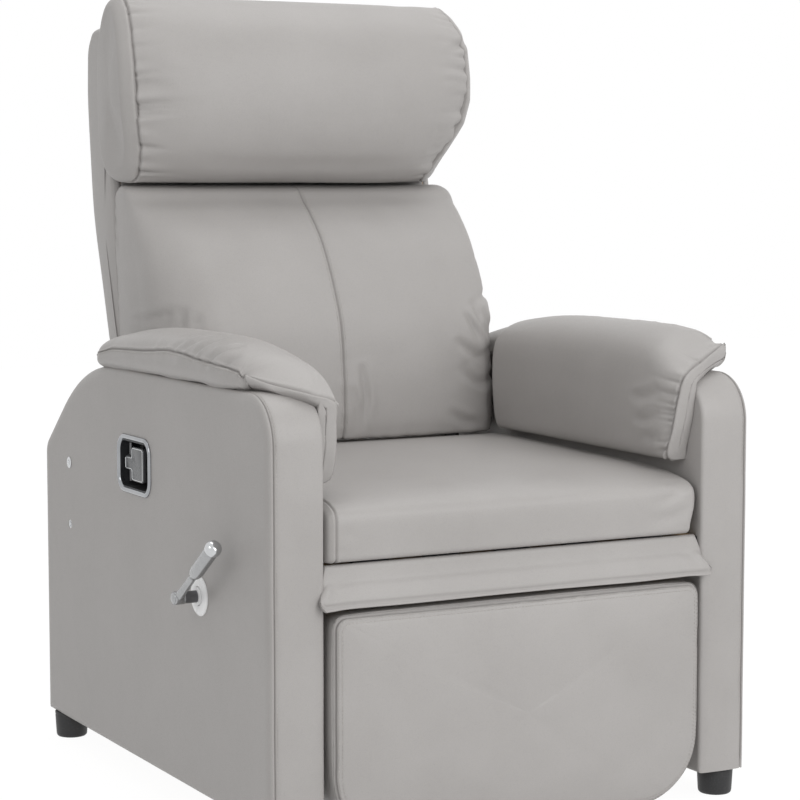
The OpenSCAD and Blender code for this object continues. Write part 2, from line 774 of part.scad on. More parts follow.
module release_cable() {
    rings = [for (k = [0:cable_rings]) let (t = k / cable_rings, p = cable_point(t), w = cable_way(t))
        [for (j = [0:cable_sides - 1]) let (a = 360 * j / cable_sides, r = cable_d / 2)
            [cable_x0 + (cable_x1 - cable_x0) * ramp(t) + r * sin(a),
                p.x - r * cos(a) * w.y, p.y + r * cos(a) * w.x]]];
    color(black_c) on_side(-1)
        loft(rings, [cable_x0, cable_from.x, cable_from.y], [cable_x1, cable_to.x, cable_to.y]);
}

module latch_housing() {
    x0 = x_in + skin_t;
    color(steel_c) on_side(-1) {
        block([x0, latch_p.x - latch_size.y / 2, latch_p.y - latch_size.z / 2],
            [x0 + latch_size.x, latch_p.x + latch_size.y / 2, latch_p.y + latch_size.z / 2]);
        rod_x(pivot_d, arm_x + bar_t + fit, x0 + fit, latch_p);
    }
}

module lever_escutcheon() {
    color(white_c) on_side(-1) yz(x_out, x_out + plate_t) difference() {
        spot(lever_p, escutcheon_d);
        spot(lever_p, bush_d + 2 * fit);
    }
}

module lever_bush() {
    color(white_c) on_side(-1) yz(x_in, x_out + bush_lip) difference() {
        spot(lever_p, bush_d);
        spot(lever_p, lever_shaft_d + 2 * run);
    }
}

module tray_inserts() {
    color(chrome_c) on_side(-1) for (p = [insert_p, insert_low_p]) {
        yz(x_out - skin_t - 2 * tab, x_out) difference() {
            spot(p, insert_d + 2 * insert_wall);
            spot(p, insert_d);
        }
        yz(x_out, x_out + collar_t) difference() {
            spot(p, collar_d);
            spot(p, insert_d);
        }
    }
}

module lock_shaft() {
    color(chrome_c) {
        rod_x(lever_shaft_d, -x_out - lever_stand - lever_hub_w / 2, x_in - fit, lever_p);
        rod_x(cam_d, -cam_w / 2, cam_w / 2, lever_p + [0, cam_off]);
    }
}

// Puts children on the lever, with +Z along it
module on_lever() {
    translate([-x_out - lever_stand, lever_p.x, lever_p.y]) rotate([90 - lever_angle, 0, 0]) children();
}

module lever_arm() {
    color(chrome_c) difference() {
        union() {
            rod_x(lever_hub_d, -x_out - lever_stand - lever_hub_w / 2,
                -x_out - lever_stand + lever_hub_w / 2, lever_p);
            on_lever() cylinder(d = lever_rod_d, h = lever_l * grip_start_share);
        }
        rod_x(lever_shaft_d + 2 * run, -x_out - lever_stand - lever_hub_w, -x_out, lever_p);
    }
}

module lever_grip() {
    color(chrome_c) on_lever() translate([0, 0, lever_l * grip_start_share])
        cylinder(d = lever_grip_d, h = lever_l * (cap_start_share - grip_start_share));
}

module lever_end_cap() {
    cap_l = lever_l * (1 - cap_start_share);
    color(chrome_c) on_lever() translate([0, 0, lever_l * cap_start_share]) {
        cylinder(d = cap_d, h = cap_l - cap_round);
        translate([0, 0, cap_l - cap_round]) cylinder(d1 = cap_d, d2 = cap_d - 2 * cap_round, h = cap_round);
    }
}

// Front and rear of the back's side in y at height share t
function back_at(shares, t) = back_front + back_d * lookup(t, [for (q = shares) [q.y, q.x]]);
function back_point(shares, t, dy) = [back_at(shares, t) + dy, back_bottom + t * back_h];

module back_shell() {
    front = place(back_front_shares, [back_front, back_bottom], [back_d, back_h]);
    rear = place(back_rear_shares, [back_front, back_bottom], [back_d, back_h]);
    pocket_h = back_h - 2 * shell_t;
    pocket_front = place(back_front_shares, [back_front - cut, back_bottom], [back_d, pocket_h]);
    pocket_rear = place(back_rear_shares, [back_front - shell_t, back_bottom], [back_d, pocket_h]);
    color(leather_c) difference() {
        yz(-back_w / 2, back_w / 2) polygon(concat(front, rear));
        yz(shell_t - back_w / 2, back_w / 2 - shell_t)
            polygon(concat([pocket_front[0] - [0, cut]], pocket_front, pocket_rear,
                [pocket_rear[6] - [0, cut]]));
    }
}

module back_posts() {
    front_in = 2 * fit + web_t;
    rear_in = -1.75 * shell_t;
    front = [for (t = post_height_shares) back_point(back_front_shares, t, front_in)];
    rear = [for (k = [len(post_height_shares) - 1:-1:0])
        back_point(back_rear_shares, post_height_shares[k], rear_in)];
    color(timber_c) both_sides() yz(post_x - rail_t, post_x) polygon(concat(front, rear));
}

module back_rails() {
    color(timber_c) for (t = back_rail_shares) yz(rail_t - post_x, post_x - rail_t) polygon([
        back_point(back_front_shares, t, clear), back_point(back_front_shares, t + back_rail_share, clear),
        back_point(back_front_shares, t + back_rail_share, clear + rail_t),
        back_point(back_front_shares, t, clear + rail_t)
    ]);
}

module back_webbing() {
    step = web_w / back_h;
    color(web_c) for (t = back_strap_shares) yz(-post_x, post_x) polygon([
        back_point(back_front_shares, t, fit), back_point(back_front_shares, t + step, fit),
        back_point(back_front_shares, t + step, fit + web_t), back_point(back_front_shares, t, fit + web_t)
    ]);
}

module hinge_arms() {
    knee = back_point(back_front_shares, hinge_arm_shares[0], rail_t * hinge_knee_share + clear);
    top = back_point(back_front_shares, hinge_arm_shares[1], rail_t + clear);
    color(steel_c) both_sides() yz(post_x, back_arm_x) difference() {
        union() {
            bar(hinge_p, knee, bar_w + 2 * ring_wall);
            bar(knee, top, bar_w);
        }
        spot(hinge_p, hinge_pin_d + 2 * run);
    }
}

module crank_tube() {
    pipe_d = hinge_pin_d + 2 * ring_wall;
    color(steel_c) difference() {
        union() {
            rod_x(pipe_d, -post_x, post_x, hinge_p);
            both_sides() yz(tab / 2, tab / 2 + bar_t) bar(hinge_p, crank_p, crank_bar_w);
            rod_x(crank_pin_d, -tab / 2 - bar_t, tab / 2 + bar_t, crank_p);
        }
        rod_x(hinge_pin_d + 2 * clear / 2, -post_x - cut, post_x + cut, hinge_p);
    }
}

// A point p of a cushion's section, drawn in by e towards the section's middle m
function drawn(p, m, e) = m + (p - m) * (1 - e / norm(p - m));

function lumbar_ring(u) = let (
    s = [lumbar_d, lumbar_h], p0 = [lumbar_front, lumbar_bottom], m = p0 + s / 2,
    e = edge_draw(u * back_w / 2, back_w / 2, lumbar_edge_r),
    dip = seam_dip * exp(-pow(u * back_w / 2 / seam_w, 2))
) [for (p = smooth_loop(place(lumbar_shares, p0, s), 2)) let (
    q = drawn(p, m, e), rear = p0.x + s.x, fall = 1 - lumbar_fall_share * pow(abs(u), 3)
) [u * back_w / 2, rear - (rear - q.x) * fall + (q.x < m.x ? dip : 0), q.y]];

module lumbar_cushion() {
    mid = [0, lumbar_front + lumbar_d / 2, lumbar_bottom + lumbar_h / 2];
    color(leather_c) loft([for (u = lumbar_x_shares) lumbar_ring(u)],
        mid - [back_w / 2, 0, 0], mid + [back_w / 2, 0, 0]);
}

function head_ring(u) = let (
    s = [head_d, head_h], p0 = [head_front, head_bottom], m = p0 + s / 2,
    e = edge_draw(u * head_w / 2, head_w / 2, head_edge_r)
) [for (p = smooth_loop(place(head_shares, p0, s), 2)) let (
    q = drawn(p, m, e), rear = p0.x + s.x, fall = 1 - head_fall_share * pow(abs(u), 4),
    narrow = (1 - lookup((q.y - p0.y) / s.y, head_wide_shares)) * (rear - q.x) / s.x,
    wide = 1 - narrow * head_narrow
) [u * wide * head_w / 2, rear - (rear - q.x) * fall, q.y]];

module headrest_cushion() {
    mid = [0, head_front + head_d * 2 / 3, head_bottom + head_h / 2];
    color(leather_c) loft([for (u = head_x_shares) head_ring(u)],
        mid - [head_w / 2, 0, 0], mid + [head_w / 2, 0, 0]);
}

// Puts children in the gas strut's line, with +Y towards the crank
module on_strut() {
    translate([0, strut_p.x, strut_p.y]) rotate([strut_angle, 0, 0]) children();
}

module rod_y(d, y0, y1) {
    translate([0, y0, 0]) rotate([-90, 0, 0]) cylinder(d = d, h = y1 - y0);
}

module strut_cylinder() {
    eye_d = crossbar_d + 2 * run + 2 * ring_wall;
    body_l = strut_l * strut_body_share;
    color(black_c) on_strut() difference() {
        union() {
            rod_x(eye_d, -tab / 2, tab / 2, [0, 0]);
            rod_y(strut_d, crossbar_d / 2 + ring_wall / 2, body_l);
        }
        rod_x(crossbar_d + 2 * run, -strut_d, strut_d, [0, 0]);
        rod_y(strut_d - 2 * strut_wall, crossbar_d, body_l - 2 * strut_wall);
        rod_y(rod_d + 2 * run, crossbar_d, body_l + cut);
    }
}

module strut_rod() {
    eye_bore = crank_pin_d + 2 * crank_play;
    body_l = strut_l * strut_body_share;
    color(chrome_c) on_strut() difference() {
        union() {
            rod_y(rod_d, body_l - tab - clear, strut_l - (eye_bore + ring_wall) / 2);
            rod_y(strut_d - 2 * strut_wall - 2 * run, body_l - 2 * tab, body_l - tab);
            rod_x(eye_bore + 2 * ring_wall, (clear - tab) / 2, (tab - clear) / 2, [strut_l, 0]);
        }
        rod_x(eye_bore, -tab, tab, [strut_l, 0]);
    }
}

module leg_swing_arms() {
    color(steel_c) {
        both_sides() {
            yz(arm_x, arm_x + bar_t) difference() {
                bar(leg_p, elbow_p, bar_w);
                spot(leg_p, pivot_d + 2 * run);
            }
            rod_x(pivot_d, link_x - clear / 2, arm_x + clear, elbow_p);
        }
        rod_x(tube_d, -arm_x, arm_x, leg_p + (elbow_p - leg_p) * arm_tube_share);
    }
}

module leg_links() {
    color(steel_c) both_sides() {
        yz(link_x, link_x + bar_t) difference() {
            bar(elbow_p, leg_q, bar_w);
            spot(elbow_p, pivot_d + 2 * run);
        }
        rod_x(pivot_d, bracket_x - clear / 2, link_x + clear, leg_q);
    }
}

module leg_brackets() {
    color(steel_c) both_sides() {
        yz(bracket_x, bracket_x + bar_t) difference() {
            union() {
                spot(leg_q, bar_w);
                span([leg_board_back, leg_q.y - bar_w / 2], [leg_q.x, leg_q.y + bar_w / 2]);
            }
            spot(leg_q, pivot_d + 2 * run);
        }
        block([bracket_x - tab, leg_board_back, leg_q.y - 2 * tab],
            [bracket_x + bar_t, leg_board_back + clear, leg_q.y + 2 * tab]);
    }
}

module leg_board() {
    hw = leg_w / 2 - tab;
    z0 = leg_bottom + leg_edge_r;
    z1 = leg_top - leg_edge_r;
    color(timber_c) xz(leg_board_front, leg_board_back) polygon([
        [-hw, z1], [-hw, z0 + leg_corner_r], [leg_corner_r - hw, z0],
        [hw - leg_corner_r, z0], [hw, z0 + leg_corner_r], [hw, z1]
    ]);
}

// Section of the leg rest's pad in [x, y] at height z
function leg_ring(z) = let (
    low = z - leg_bottom, r = leg_corner_r, e = edge_draw(low - leg_h / 2, leg_h / 2, leg_edge_r),
    hw = leg_w / 2 - (low < r ? r - sqrt(max(r * r - pow(r - low, 2), 0)) : 0) - e / 2,
    y0 = leg_front + e, y1 = leg_back, bow = leg_bulge * pow(2 * low / leg_h - 1, 2)
) [for (k = [0:ring_points - 1]) let (
    a = 360 * (k + 0.5) / ring_points,
    c = sign_pow(cos(a), leg_side_power), s = sign_pow(sin(a), leg_side_power),
    y = (y0 + y1) / 2 + (y1 - y0) / 2 * s
) [hw * c, s < 0 ? y + (bow + leg_bulge * c * c) * s * s / 2 : y, z]];

module leg_pad() {
    zs = [for (k = [0:leg_pad_stations]) leg_bottom + leg_h * (1 - cos(180 * k / leg_pad_stations)) / 2];
    mid = (leg_front + leg_back) / 2;
    color(leather_c) loft([for (z = zs) leg_ring(z)], [0, mid, leg_bottom], [0, mid, leg_top]);
}

module flap_rod() {
    color(steel_c) rod_x(flap_rod_d, -x_in, x_in, flap_p);
}

module flap_cover() {
    hw = x_in - clear / 2;
    color(leather_c) yz(-hw, hw) difference() {
        union() {
            translate(flap_p) polygon([for (q = flap_shares) [q.x * flap_t, q.y * flap_h]]);
            spot(flap_p, flap_sleeve_d);
        }
        spot(flap_p, flap_rod_d + 2 * run);
    }
}

side_face(-1);  // side_face_right
side_face(1);  // side_face_left
side_band(-1);  // side_band_right
side_band(1);  // side_band_left
side_lining(-1);  // side_lining_right
side_lining(1);  // side_lining_left
side_frame(-1);  // side_frame_right
side_frame(1);  // side_frame_left
lower_rail(panel_front + low_front_in);  // lower_rail_front
lower_rail(panel_rear - low_rear_in - rail_t);  // lower_rail_rear
rail_brackets();
foot(-1, panel_front + foot_in);  // foot_front_right
foot(1, panel_front + foot_in);  // foot_front_left
foot(-1, panel_rear - foot_in);  // foot_rear_right
foot(1, panel_rear - foot_in);  // foot_rear_left
foot_studs();
arm_pad(-1);  // arm_pad_right
arm_pad(1);  // arm_pad_left
seat_rail_front();
seat_rail_rear();
seat_rail_side(-1);  // seat_rail_right
seat_rail_side(1);  // seat_rail_left
seat_webbing();
seat_cushion();
mechanism_plates();
crossbar();
leg_pivot_pins();
hinge_plates();
hinge_pins();
cup_bezel();
cup_dish();
paddle_pin();
release_cable();
latch_housing();
lever_escutcheon();
lever_bush();
tray_inserts();
pull_paddle();
lock_shaft();
lever_arm();
lever_grip();
lever_end_cap();
back_posts();
back_rails();
back_webbing();
back_shell();
hinge_arms();
crank_tube();
lumbar_cushion();
headrest_cushion();
strut_cylinder();
strut_rod();
leg_swing_arms();
leg_links();
leg_brackets();
leg_board();
leg_pad();
flap_rod();
flap_cover();
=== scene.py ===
"""Dressed model of a pedicure chair: leather, seams, hardware, floor, light and camera.

Lengths inside the classes are millimetres in the row frame, with +X the sitter's left, -Y the
front and +Z up. They become metres only when a mesh is made.
"""

from __future__ import annotations

import json
import logging
import math
from dataclasses import dataclass
from enum import Enum

import bpy
import numpy as np
from mathutils import Matrix, Vector
from mathutils.geometry import tessellate_polygon

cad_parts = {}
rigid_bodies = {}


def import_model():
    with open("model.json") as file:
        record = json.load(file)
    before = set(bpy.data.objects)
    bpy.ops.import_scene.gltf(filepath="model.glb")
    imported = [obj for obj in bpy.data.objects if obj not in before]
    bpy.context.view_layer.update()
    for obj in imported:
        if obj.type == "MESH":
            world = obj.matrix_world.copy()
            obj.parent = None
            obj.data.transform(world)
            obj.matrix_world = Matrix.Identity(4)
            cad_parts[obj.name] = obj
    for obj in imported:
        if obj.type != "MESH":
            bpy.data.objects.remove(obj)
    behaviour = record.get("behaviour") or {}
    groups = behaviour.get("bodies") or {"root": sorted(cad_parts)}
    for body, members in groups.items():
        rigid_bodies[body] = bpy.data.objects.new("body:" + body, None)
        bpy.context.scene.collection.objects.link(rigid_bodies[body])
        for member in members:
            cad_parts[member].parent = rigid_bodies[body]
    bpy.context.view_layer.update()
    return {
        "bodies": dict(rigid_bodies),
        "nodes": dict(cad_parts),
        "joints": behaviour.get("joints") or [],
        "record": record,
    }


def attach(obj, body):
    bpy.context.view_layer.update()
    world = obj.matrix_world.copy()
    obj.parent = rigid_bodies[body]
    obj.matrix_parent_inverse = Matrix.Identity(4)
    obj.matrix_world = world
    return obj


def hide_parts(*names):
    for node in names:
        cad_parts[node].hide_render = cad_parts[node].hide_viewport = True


LOG = logging.getLogger("pedicure_chair")
MM = 0.001
TINY = 1e-9
SETTLE_FRAMES = 20
CALM_PASSES = 4
Array = np.ndarray
Colour = tuple[float, float, float, float]

# Sizes that several pieces share
PANEL_Y = 403.0
PANEL_TOP = 583.0
X_OUT = 360.0
X_IN = 284.0
FOOT_H = 39.0

# The bend of the panel's top edge, as y and z of its middle, and its radius
TOP_BEND = (119.0, 256.0)
TOP_BEND_R = 327.0

# Places of the hardware on the right panel, as y and z
CUP_PLACE = (36.5, 452.5)
LEVER_PLACE = (-189.0, 305.0)
INSERT_Y = 296.0
INSERT_HEIGHTS = (429.0, 337.0)


class Side(Enum):
    """The two sides of the chair, as the sign of X."""

    RIGHT = -1
    LEFT = 1


# Curves and numbers


def ramp(t: Array | float) -> Array:
    """Smooth step from 0 to 1."""
    c = np.clip(t, 0.0, 1.0)
    return c * c * (3.0 - 2.0 * c)


def bell(d: Array | float, width: float) -> Array:
    """Bell curve of height 1 over the distance d."""
    return np.exp(-((d / width) ** 2))


def signed_power(v: Array, p: Array | float) -> Array:
    """Power of a number that keeps its sign."""
    return np.sign(v) * np.abs(v) ** p


def edge_draw(x: Array | float, w: float, r: float) -> Array:
    """How far a rounded edge of radius r draws in at x from the middle of a width 2 * w."""
    over = np.clip(np.abs(x) - (w - r), 0.0, r)
    return r - np.sqrt(np.maximum(r * r - over * over, 0.0))


def seam_groove(gap: Array, depth: float, width: float, roll: float, off: float, soft: float) -> Array:
    """Heights across a sewn groove with the leather rolled up on both sides.

    Args:
        gap: distance from the seam.
        depth: depth of the groove.
        width: how wide the groove is.
        roll: height of the rolls.
        off: distance of the rolls from the seam.
        soft: how wide a roll is.

    Returns:
        Heights in millimetres.
    """
    return roll * bell(np.abs(gap) - off, soft) - depth * bell(gap, width)


def run_along(points: Array) -> Array:
    """Distance of each point along the line through all of them."""
    return np.concatenate([[0], np.cumsum(np.linalg.norm(np.diff(points, axis=0), axis=1))])


def between(p: Array | tuple, q: Array | tuple, n: int) -> Array:
    """Points strictly between two corners, evenly spaced."""
    a, b = np.array(p), np.array(q)
    return a + (b - a) * np.linspace(0, 1, n + 2)[1:-1, None]


def towards_middle(q: Array, middle: Array, by: Array | float) -> Array:
    """Points moved towards a middle by a distance."""
    return middle + (q - middle) * (1 - by / np.linalg.norm(q - middle, axis=1, keepdims=True))


def unit(v: Array) -> Array:
    """Rows of v at length 1."""
    return v / np.maximum(np.linalg.norm(v, axis=-1, keepdims=True), TINY)


def spline(values: Array, t: Array, axis: int = 0, loop: bool = False) -> Array:
    """Values of a smooth curve through evenly numbered samples.

    Args:
        values: samples, numbered along the axis.
        t: places to read, as fractions of sample numbers.
        axis: the axis that the samples run along.
        loop: whether the last sample is followed by the first.

    Returns:
        The read values, with the axis as long as t.
    """
    a = np.moveaxis(values, axis, 0)
    n = len(a)
    i = np.floor(t).astype(int)
    if not loop:
        i = np.clip(i, 0, n - 2)
    f = (t - i).reshape((-1,) + (1,) * (a.ndim - 1))

    def at(k: Array) -> Array:
        """Samples with the numbers k."""
        return a[k % n] if loop else a[np.clip(k, 0, n - 1)]

    p0, p1, p2, p3 = at(i - 1), at(i), at(i + 1), at(i + 2)
    out = 0.5 * (
        2 * p1 + (p2 - p0) * f + (2 * p0 - 5 * p1 + 4 * p2 - p3) * f**2 + (3 * p1 - p0 - 3 * p2 + p3) * f**3
    )
    return np.moveaxis(out, 0, axis)


def even_places(points: Array, count: int, loop: bool = True, fine: int = 24) -> Array:
    """Sample numbers that lie evenly along the smooth curve through points.

    Args:
        points: the curve's samples.
        count: how many places to give.
        loop: whether the curve is closed.
        fine: steps per sample used to measure the curve.

    Returns:
        The places as fractions of sample numbers.
    """
    last = len(points) if loop else len(points) - 1
    t = np.linspace(0, last, last * fine + 1)
    p = spline(points, t if not loop else t % len(points), loop=loop)
    run = run_along(p)
    wanted = np.linspace(0, run[-1], count + 1)[:-1] if loop else np.linspace(0, run[-1], count)
    return np.interp(wanted, run, t)


def arc(centre: tuple[float, float], r: float, a0: float, a1: float, n: int) -> Array:
    """Points of an arc from angle a0 to a1 in degrees."""
    a = np.radians(np.linspace(a0, a1, n))
    return np.stack([centre[0] + r * np.cos(a), centre[1] + r * np.sin(a)], axis=1)


@dataclass(frozen=True)
class Ripple:
    """Smooth random values along a line, the same on each run."""

    seed: int
    pitch: float

    def __call__(self, s: Array) -> Array:
        """Values from -1 to 1 at places s."""
        table = np.random.default_rng(self.seed).uniform(-1, 1, 509)
        t = np.asarray(s, dtype=float) / self.pitch + 131.0
        i = np.floor(t).astype(int)
        f = ramp(t - i)
        return table[i % 509] * (1 - f) + table[(i + 1) % 509] * f


@dataclass(frozen=True)
class Swell:
    """Slow unevenness over a surface, the same on each run."""

    seed: int
    pitch: float
    height: float

    def __call__(self, p: Array) -> Array:
        """Heights at the points p, in millimetres."""
        a = Ripple(self.seed, self.pitch)(p[..., 0] * 0.83 + p[..., 1] * 0.41 + p[..., 2] * 0.37)
        b = Ripple(self.seed + 7, self.pitch)(p[..., 2] * 0.91 - p[..., 0] * 0.39 + p[..., 1] * 0.21)
        c = Ripple(self.seed + 13, self.pitch * 0.6)(p[..., 1] * 0.8 + p[..., 0] * 0.33 - p[..., 2] * 0.5)
        return self.height * (a + b + 0.6 * c) / 2.6


@dataclass(frozen=True)
class Gathers:
    """Small folds that start at a seam and die out away from it."""

    seed: int
    depth: float
    reach: float
    pitch: float

    def __call__(self, along: Array, away: Array) -> Array:
        """Height of the folds.

        Args:
            along: place along the seam.
            away: distance from the seam, at 0 or more.

        Returns:
            Heights in millimetres.
        """
        lean = along + away * 0.25 * Ripple(self.seed + 5, self.pitch * 4)(along)
        small = Ripple(self.seed + 1, self.pitch * 0.5)(lean)
        folds = 0.65 * Ripple(self.seed, self.pitch)(lean) + 0.35 * small
        ridge = 2.0 * np.abs(folds) ** 0.75 - 0.9
        long = self.reach * (0.6 + 0.4 * Ripple(self.seed + 2, self.pitch * 1.3)(along))
        full = 0.7 + 0.5 * Ripple(self.seed + 3, self.pitch * 5)(along)
        return self.depth * full * ridge * np.exp(-((np.maximum(away, 0) / long) ** 1.6)) * (away >= -0.5)


@dataclass(frozen=True)
class Crease:
    """One pressed-in fold along a line in space."""

    path: tuple[tuple[float, float, float], ...]
    width: float
    depth: float

    def __call__(self, p: Array) -> Array:
        """Height of the fold at the points p, in millimetres."""
        best = np.full(p.shape[:-1], 1e9)
        share = np.zeros(p.shape[:-1])
        line = np.array(self.path, dtype=float)
        for k in range(len(line) - 1):
            a, d = line[k], line[k + 1] - line[k]
            t = np.clip(((p - a) @ d) / (d @ d), 0, 1)
            gap = np.linalg.norm(p - a - t[..., None] * d, axis=-1)
            near = gap < best
            best = np.where(near, gap, best)
            share = np.where(near, (k + t) / (len(line) - 1), share)
        fade = np.sin(np.pi * np.clip(share * 0.9 + 0.05, 0, 1)) ** 0.6
        rolled = 0.45 * bell(best - 1.7 * self.width, self.width)
        return self.depth * fade * (rolled - bell(best, self.width))


# Meshes


def make_object(name: str, points: Array, faces: list,
                marks: dict[str, Array] | None = None) -> bpy.types.Object:
    """Make a smooth-shaded object.

    Args:
        name: the piece's name.
        points: corners in millimetres, one row each.
        faces: corner numbers of each face.
        marks: values per corner to store for the materials, by name.

    Returns:
        The new object, linked to the scene.
    """
    mesh = bpy.data.meshes.new(name)
    mesh.from_pydata((np.asarray(points) * MM).tolist(), [], faces)
    mesh.validate()
    mesh.polygons.foreach_set("use_smooth", [True] * len(mesh.polygons))
    for key, values in (marks or {}).items():
        stored = mesh.attributes.new(key, "FLOAT", "POINT")
        stored.data.foreach_set("value", np.asarray(values, dtype=np.float32))
    mesh.update()
    obj = bpy.data.objects.new(name, mesh)
    bpy.context.scene.collection.objects.link(obj)
    return obj


def join_parts(parts: list[tuple[Array, list]]) -> tuple[Array, list]:
    """Put several sets of corners and faces into one.

    Args:
        parts: pairs of corners and faces.

    Returns:
        One pair of corners and faces.
    """
    points, faces, start = [], [], 0
    for p, f in parts:
        points.append(np.asarray(p, dtype=float))
        faces += [tuple(int(i) + start for i in face) for face in f]
        start += len(p)
    return np.concatenate(points), faces


def ring_faces(n: int, pairs: list[tuple[int, int]]) -> list[tuple[int, ...]]:
    """Four-cornered faces between pairs of rings.

    Args:
        n: corners of each ring.
        pairs: numbers of the two rings of each band.

    Returns:
        Corner numbers of each face.
    """
    return [(a * n + j, a * n + (j + 1) % n, b * n + (j + 1) % n, b * n + j)
            for a, b in pairs for j in range(n)]


def turned_over(faces: list[tuple[int, ...]]) -> list[tuple[int, ...]]:
    """The same faces looking the other way."""
    return [(f[0], *f[:0:-1]) for f in faces]


def open_ended(form: tuple[Array, list]) -> tuple[Array, list]:
    """A turned form without the three-cornered faces at its ends."""
    points, faces = form
    return points, [f for f in faces if len(f) == 4]


@dataclass
class Loft:
    """A closed tube of rings with a pole at each end."""

    rings: Array
    poles: Array

    def way(self) -> float:
        """1 where the rings run so that the raw normals point out, otherwise -1."""
        n = self.raw_normals()
        out = self.rings - self.rings.mean(axis=1, keepdims=True)
        return 1.0 if float((n * out).sum()) > 0 else -1.0

    def raw_normals(self) -> Array:
        """Unit normals at the ring points, without care for in or out."""
        along = np.gradient(self.rings, axis=0)
        around = np.roll(self.rings, -1, axis=1) - np.roll(self.rings, 1, axis=1)
        return unit(np.cross(around, along))

    def normals(self) -> Array:
        """Unit normals at the ring points, pointing out."""
        return self.raw_normals() * self.way()

    def read(self, rows: Array, cols: Array) -> "Loft":
        """The same form with other rings and columns.

        Args:
            rows: ring numbers to read, fractions allowed.
            cols: column numbers to read, fractions allowed.

        Returns:
            The new form.
        """
        return Loft(spline(spline(self.rings, rows), cols, axis=1, loop=True), self.poles)

    def mesh(self) -> tuple[Array, list]:
        """Corners and faces, with the poles as the last two corners."""
        m, n = self.rings.shape[:2]
        points = np.concatenate([self.rings.reshape(-1, 3), self.poles])
        faces = ring_faces(n, [(i, i + 1) for i in range(m - 1)])
        last = (m - 1) * n
        faces += [(m * n, (j + 1) % n, j) for j in range(n)]
        faces += [(m * n + 1, last + j, last + (j + 1) % n) for j in range(n)]
        return points, faces if self.way() > 0 else [f[::-1] for f in faces]

    def inflated(self, pins: Array, cap: float, slack: float = 0.0) -> "Loft":
        """Blow the form up a little as a cloth bag, as foam does under its cover.

        Args:
            pins: how firmly each ring point is held, from 0 to 1.
            cap: the most that a point may move.
            slack: share of extra cloth, which gathers into folds.
        """
        points, faces = self.mesh()
        obj = make_object("cloth_bag", points, faces)
        held = obj.vertex_groups.new(name="held")
        weights = np.round(np.concatenate([pins.reshape(-1), [1.0, 1.0]]), 2)
        for level in np.unique(weights[weights > 0]):
            held.add(np.nonzero(weights == level)[0].tolist(), float(level), "REPLACE")
        cloth = obj.modifiers.new("cloth", "CLOTH").settings
        cloth.quality = 6
        cloth.mass = 0.4
        cloth.tension_stiffness = cloth.compression_stiffness = 30
        cloth.shear_stiffness = 15
        cloth.bending_stiffness = 1.5
        cloth.use_pressure = True
        cloth.uniform_pressure_force = 4.0
        cloth.shrink_min = -slack
        cloth.vertex_group_mass = "held"
        cloth.pin_stiffness = 1.0
        cloth.effector_weights.gravity = 0.0
        scene = bpy.context.scene
        for frame in range(1, SETTLE_FRAMES + 1):
            scene.frame_set(frame)
        shown = obj.evaluated_get(bpy.context.evaluated_depsgraph_get()).to_mesh()
        moved = np.empty(len(shown.vertices) * 3)
        shown.vertices.foreach_get("co", moved)
        moved = moved.reshape(-1, 3) / MM - points
        bpy.data.objects.remove(obj)
        scene.frame_set(1)
        size = np.linalg.norm(moved, axis=1, keepdims=True)
        moved *= np.minimum(1.0, cap / np.maximum(size, TINY))
        m, n = self.rings.shape[:2]
        grid = moved[: m * n].reshape(m, n, 3)
        for _ in range(CALM_PASSES):
            rows = np.concatenate([grid[:1], grid, grid[-1:]])
            beside = np.roll(grid, 1, axis=1) + np.roll(grid, -1, axis=1)
            grid = 0.5 * grid + 0.125 * (beside + rows[:-2] + rows[2:])
        return Loft(self.rings + grid * np.minimum(1.0, 1.4 - pins)[..., None], self.poles)


def turned(profile: Array, axis_point: tuple[float, float, float], axis: tuple[float, float, float],
           sides: int = 40) -> tuple[Array, list]:
    """A turned form.

    Args:
        profile: rows of distance along the axis and radius.
        axis_point: where the distance is 0.
        axis: direction of the axis.
        sides: corners around.

    Returns:
        Corners and faces.
    """
    w = unit(np.array(axis, dtype=float))
    u = unit(np.cross(w, [0.0, 0.0, 1.0] if abs(w[2]) < 0.9 else [1.0, 0.0, 0.0]))
    v = np.cross(w, u)
    a = np.linspace(0, 2 * np.pi, sides, endpoint=False)
    around = np.cos(a)[:, None] * u + np.sin(a)[:, None] * v
    base = np.array(axis_point, dtype=float)
    rings = np.stack([base + s * w + r * around for s, r in profile])
    poles = np.stack([base + profile[0][0] * w, base + profile[-1][0] * w])
    return Loft(rings, poles).mesh()


def tube(path: Array, radii: Array, sides: int = 20) -> tuple[Array, list]:
    """A round tube along a path.

    Args:
        path: centre line, one row per point.
        radii: radius at each point.
        sides: corners around.

    Returns:
        Corners and faces.
    """
    way = unit(np.gradient(path, axis=0))
    up = np.array([0.0, 0.0, 1.0]) if abs(way[0][2]) < 0.9 else np.array([1.0, 0.0, 0.0])
    rings = []
    a = np.linspace(0, 2 * np.pi, sides, endpoint=False)
    for p, w, r in zip(path, way, radii):
        u = unit(np.cross(up, w))
        up = np.cross(w, u)
        rings.append(p + r * (np.cos(a)[:, None] * u + np.sin(a)[:, None] * up))
    return Loft(np.array(rings), np.array([path[0], path[-1]])).mesh()


def round_corner_loop(w: float, h: float, r: float, per_corner: int = 12) -> Array:
    """Corners of a rounded rectangle round the origin, the same number for any size."""
    parts = []
    a, b = w / 2 - r, h / 2 - r
    corners = [arc(at, r, 90 * k, 90 * k + 90, per_corner)
               for k, at in enumerate([(a, b), (-a, b), (-a, -b), (a, -b)])]
    for corner, following in zip(corners, corners[1:] + corners[:1]):
        parts += [corner, between(corner[-1], following[0], 6)]
    return np.concatenate(parts)


# Materials


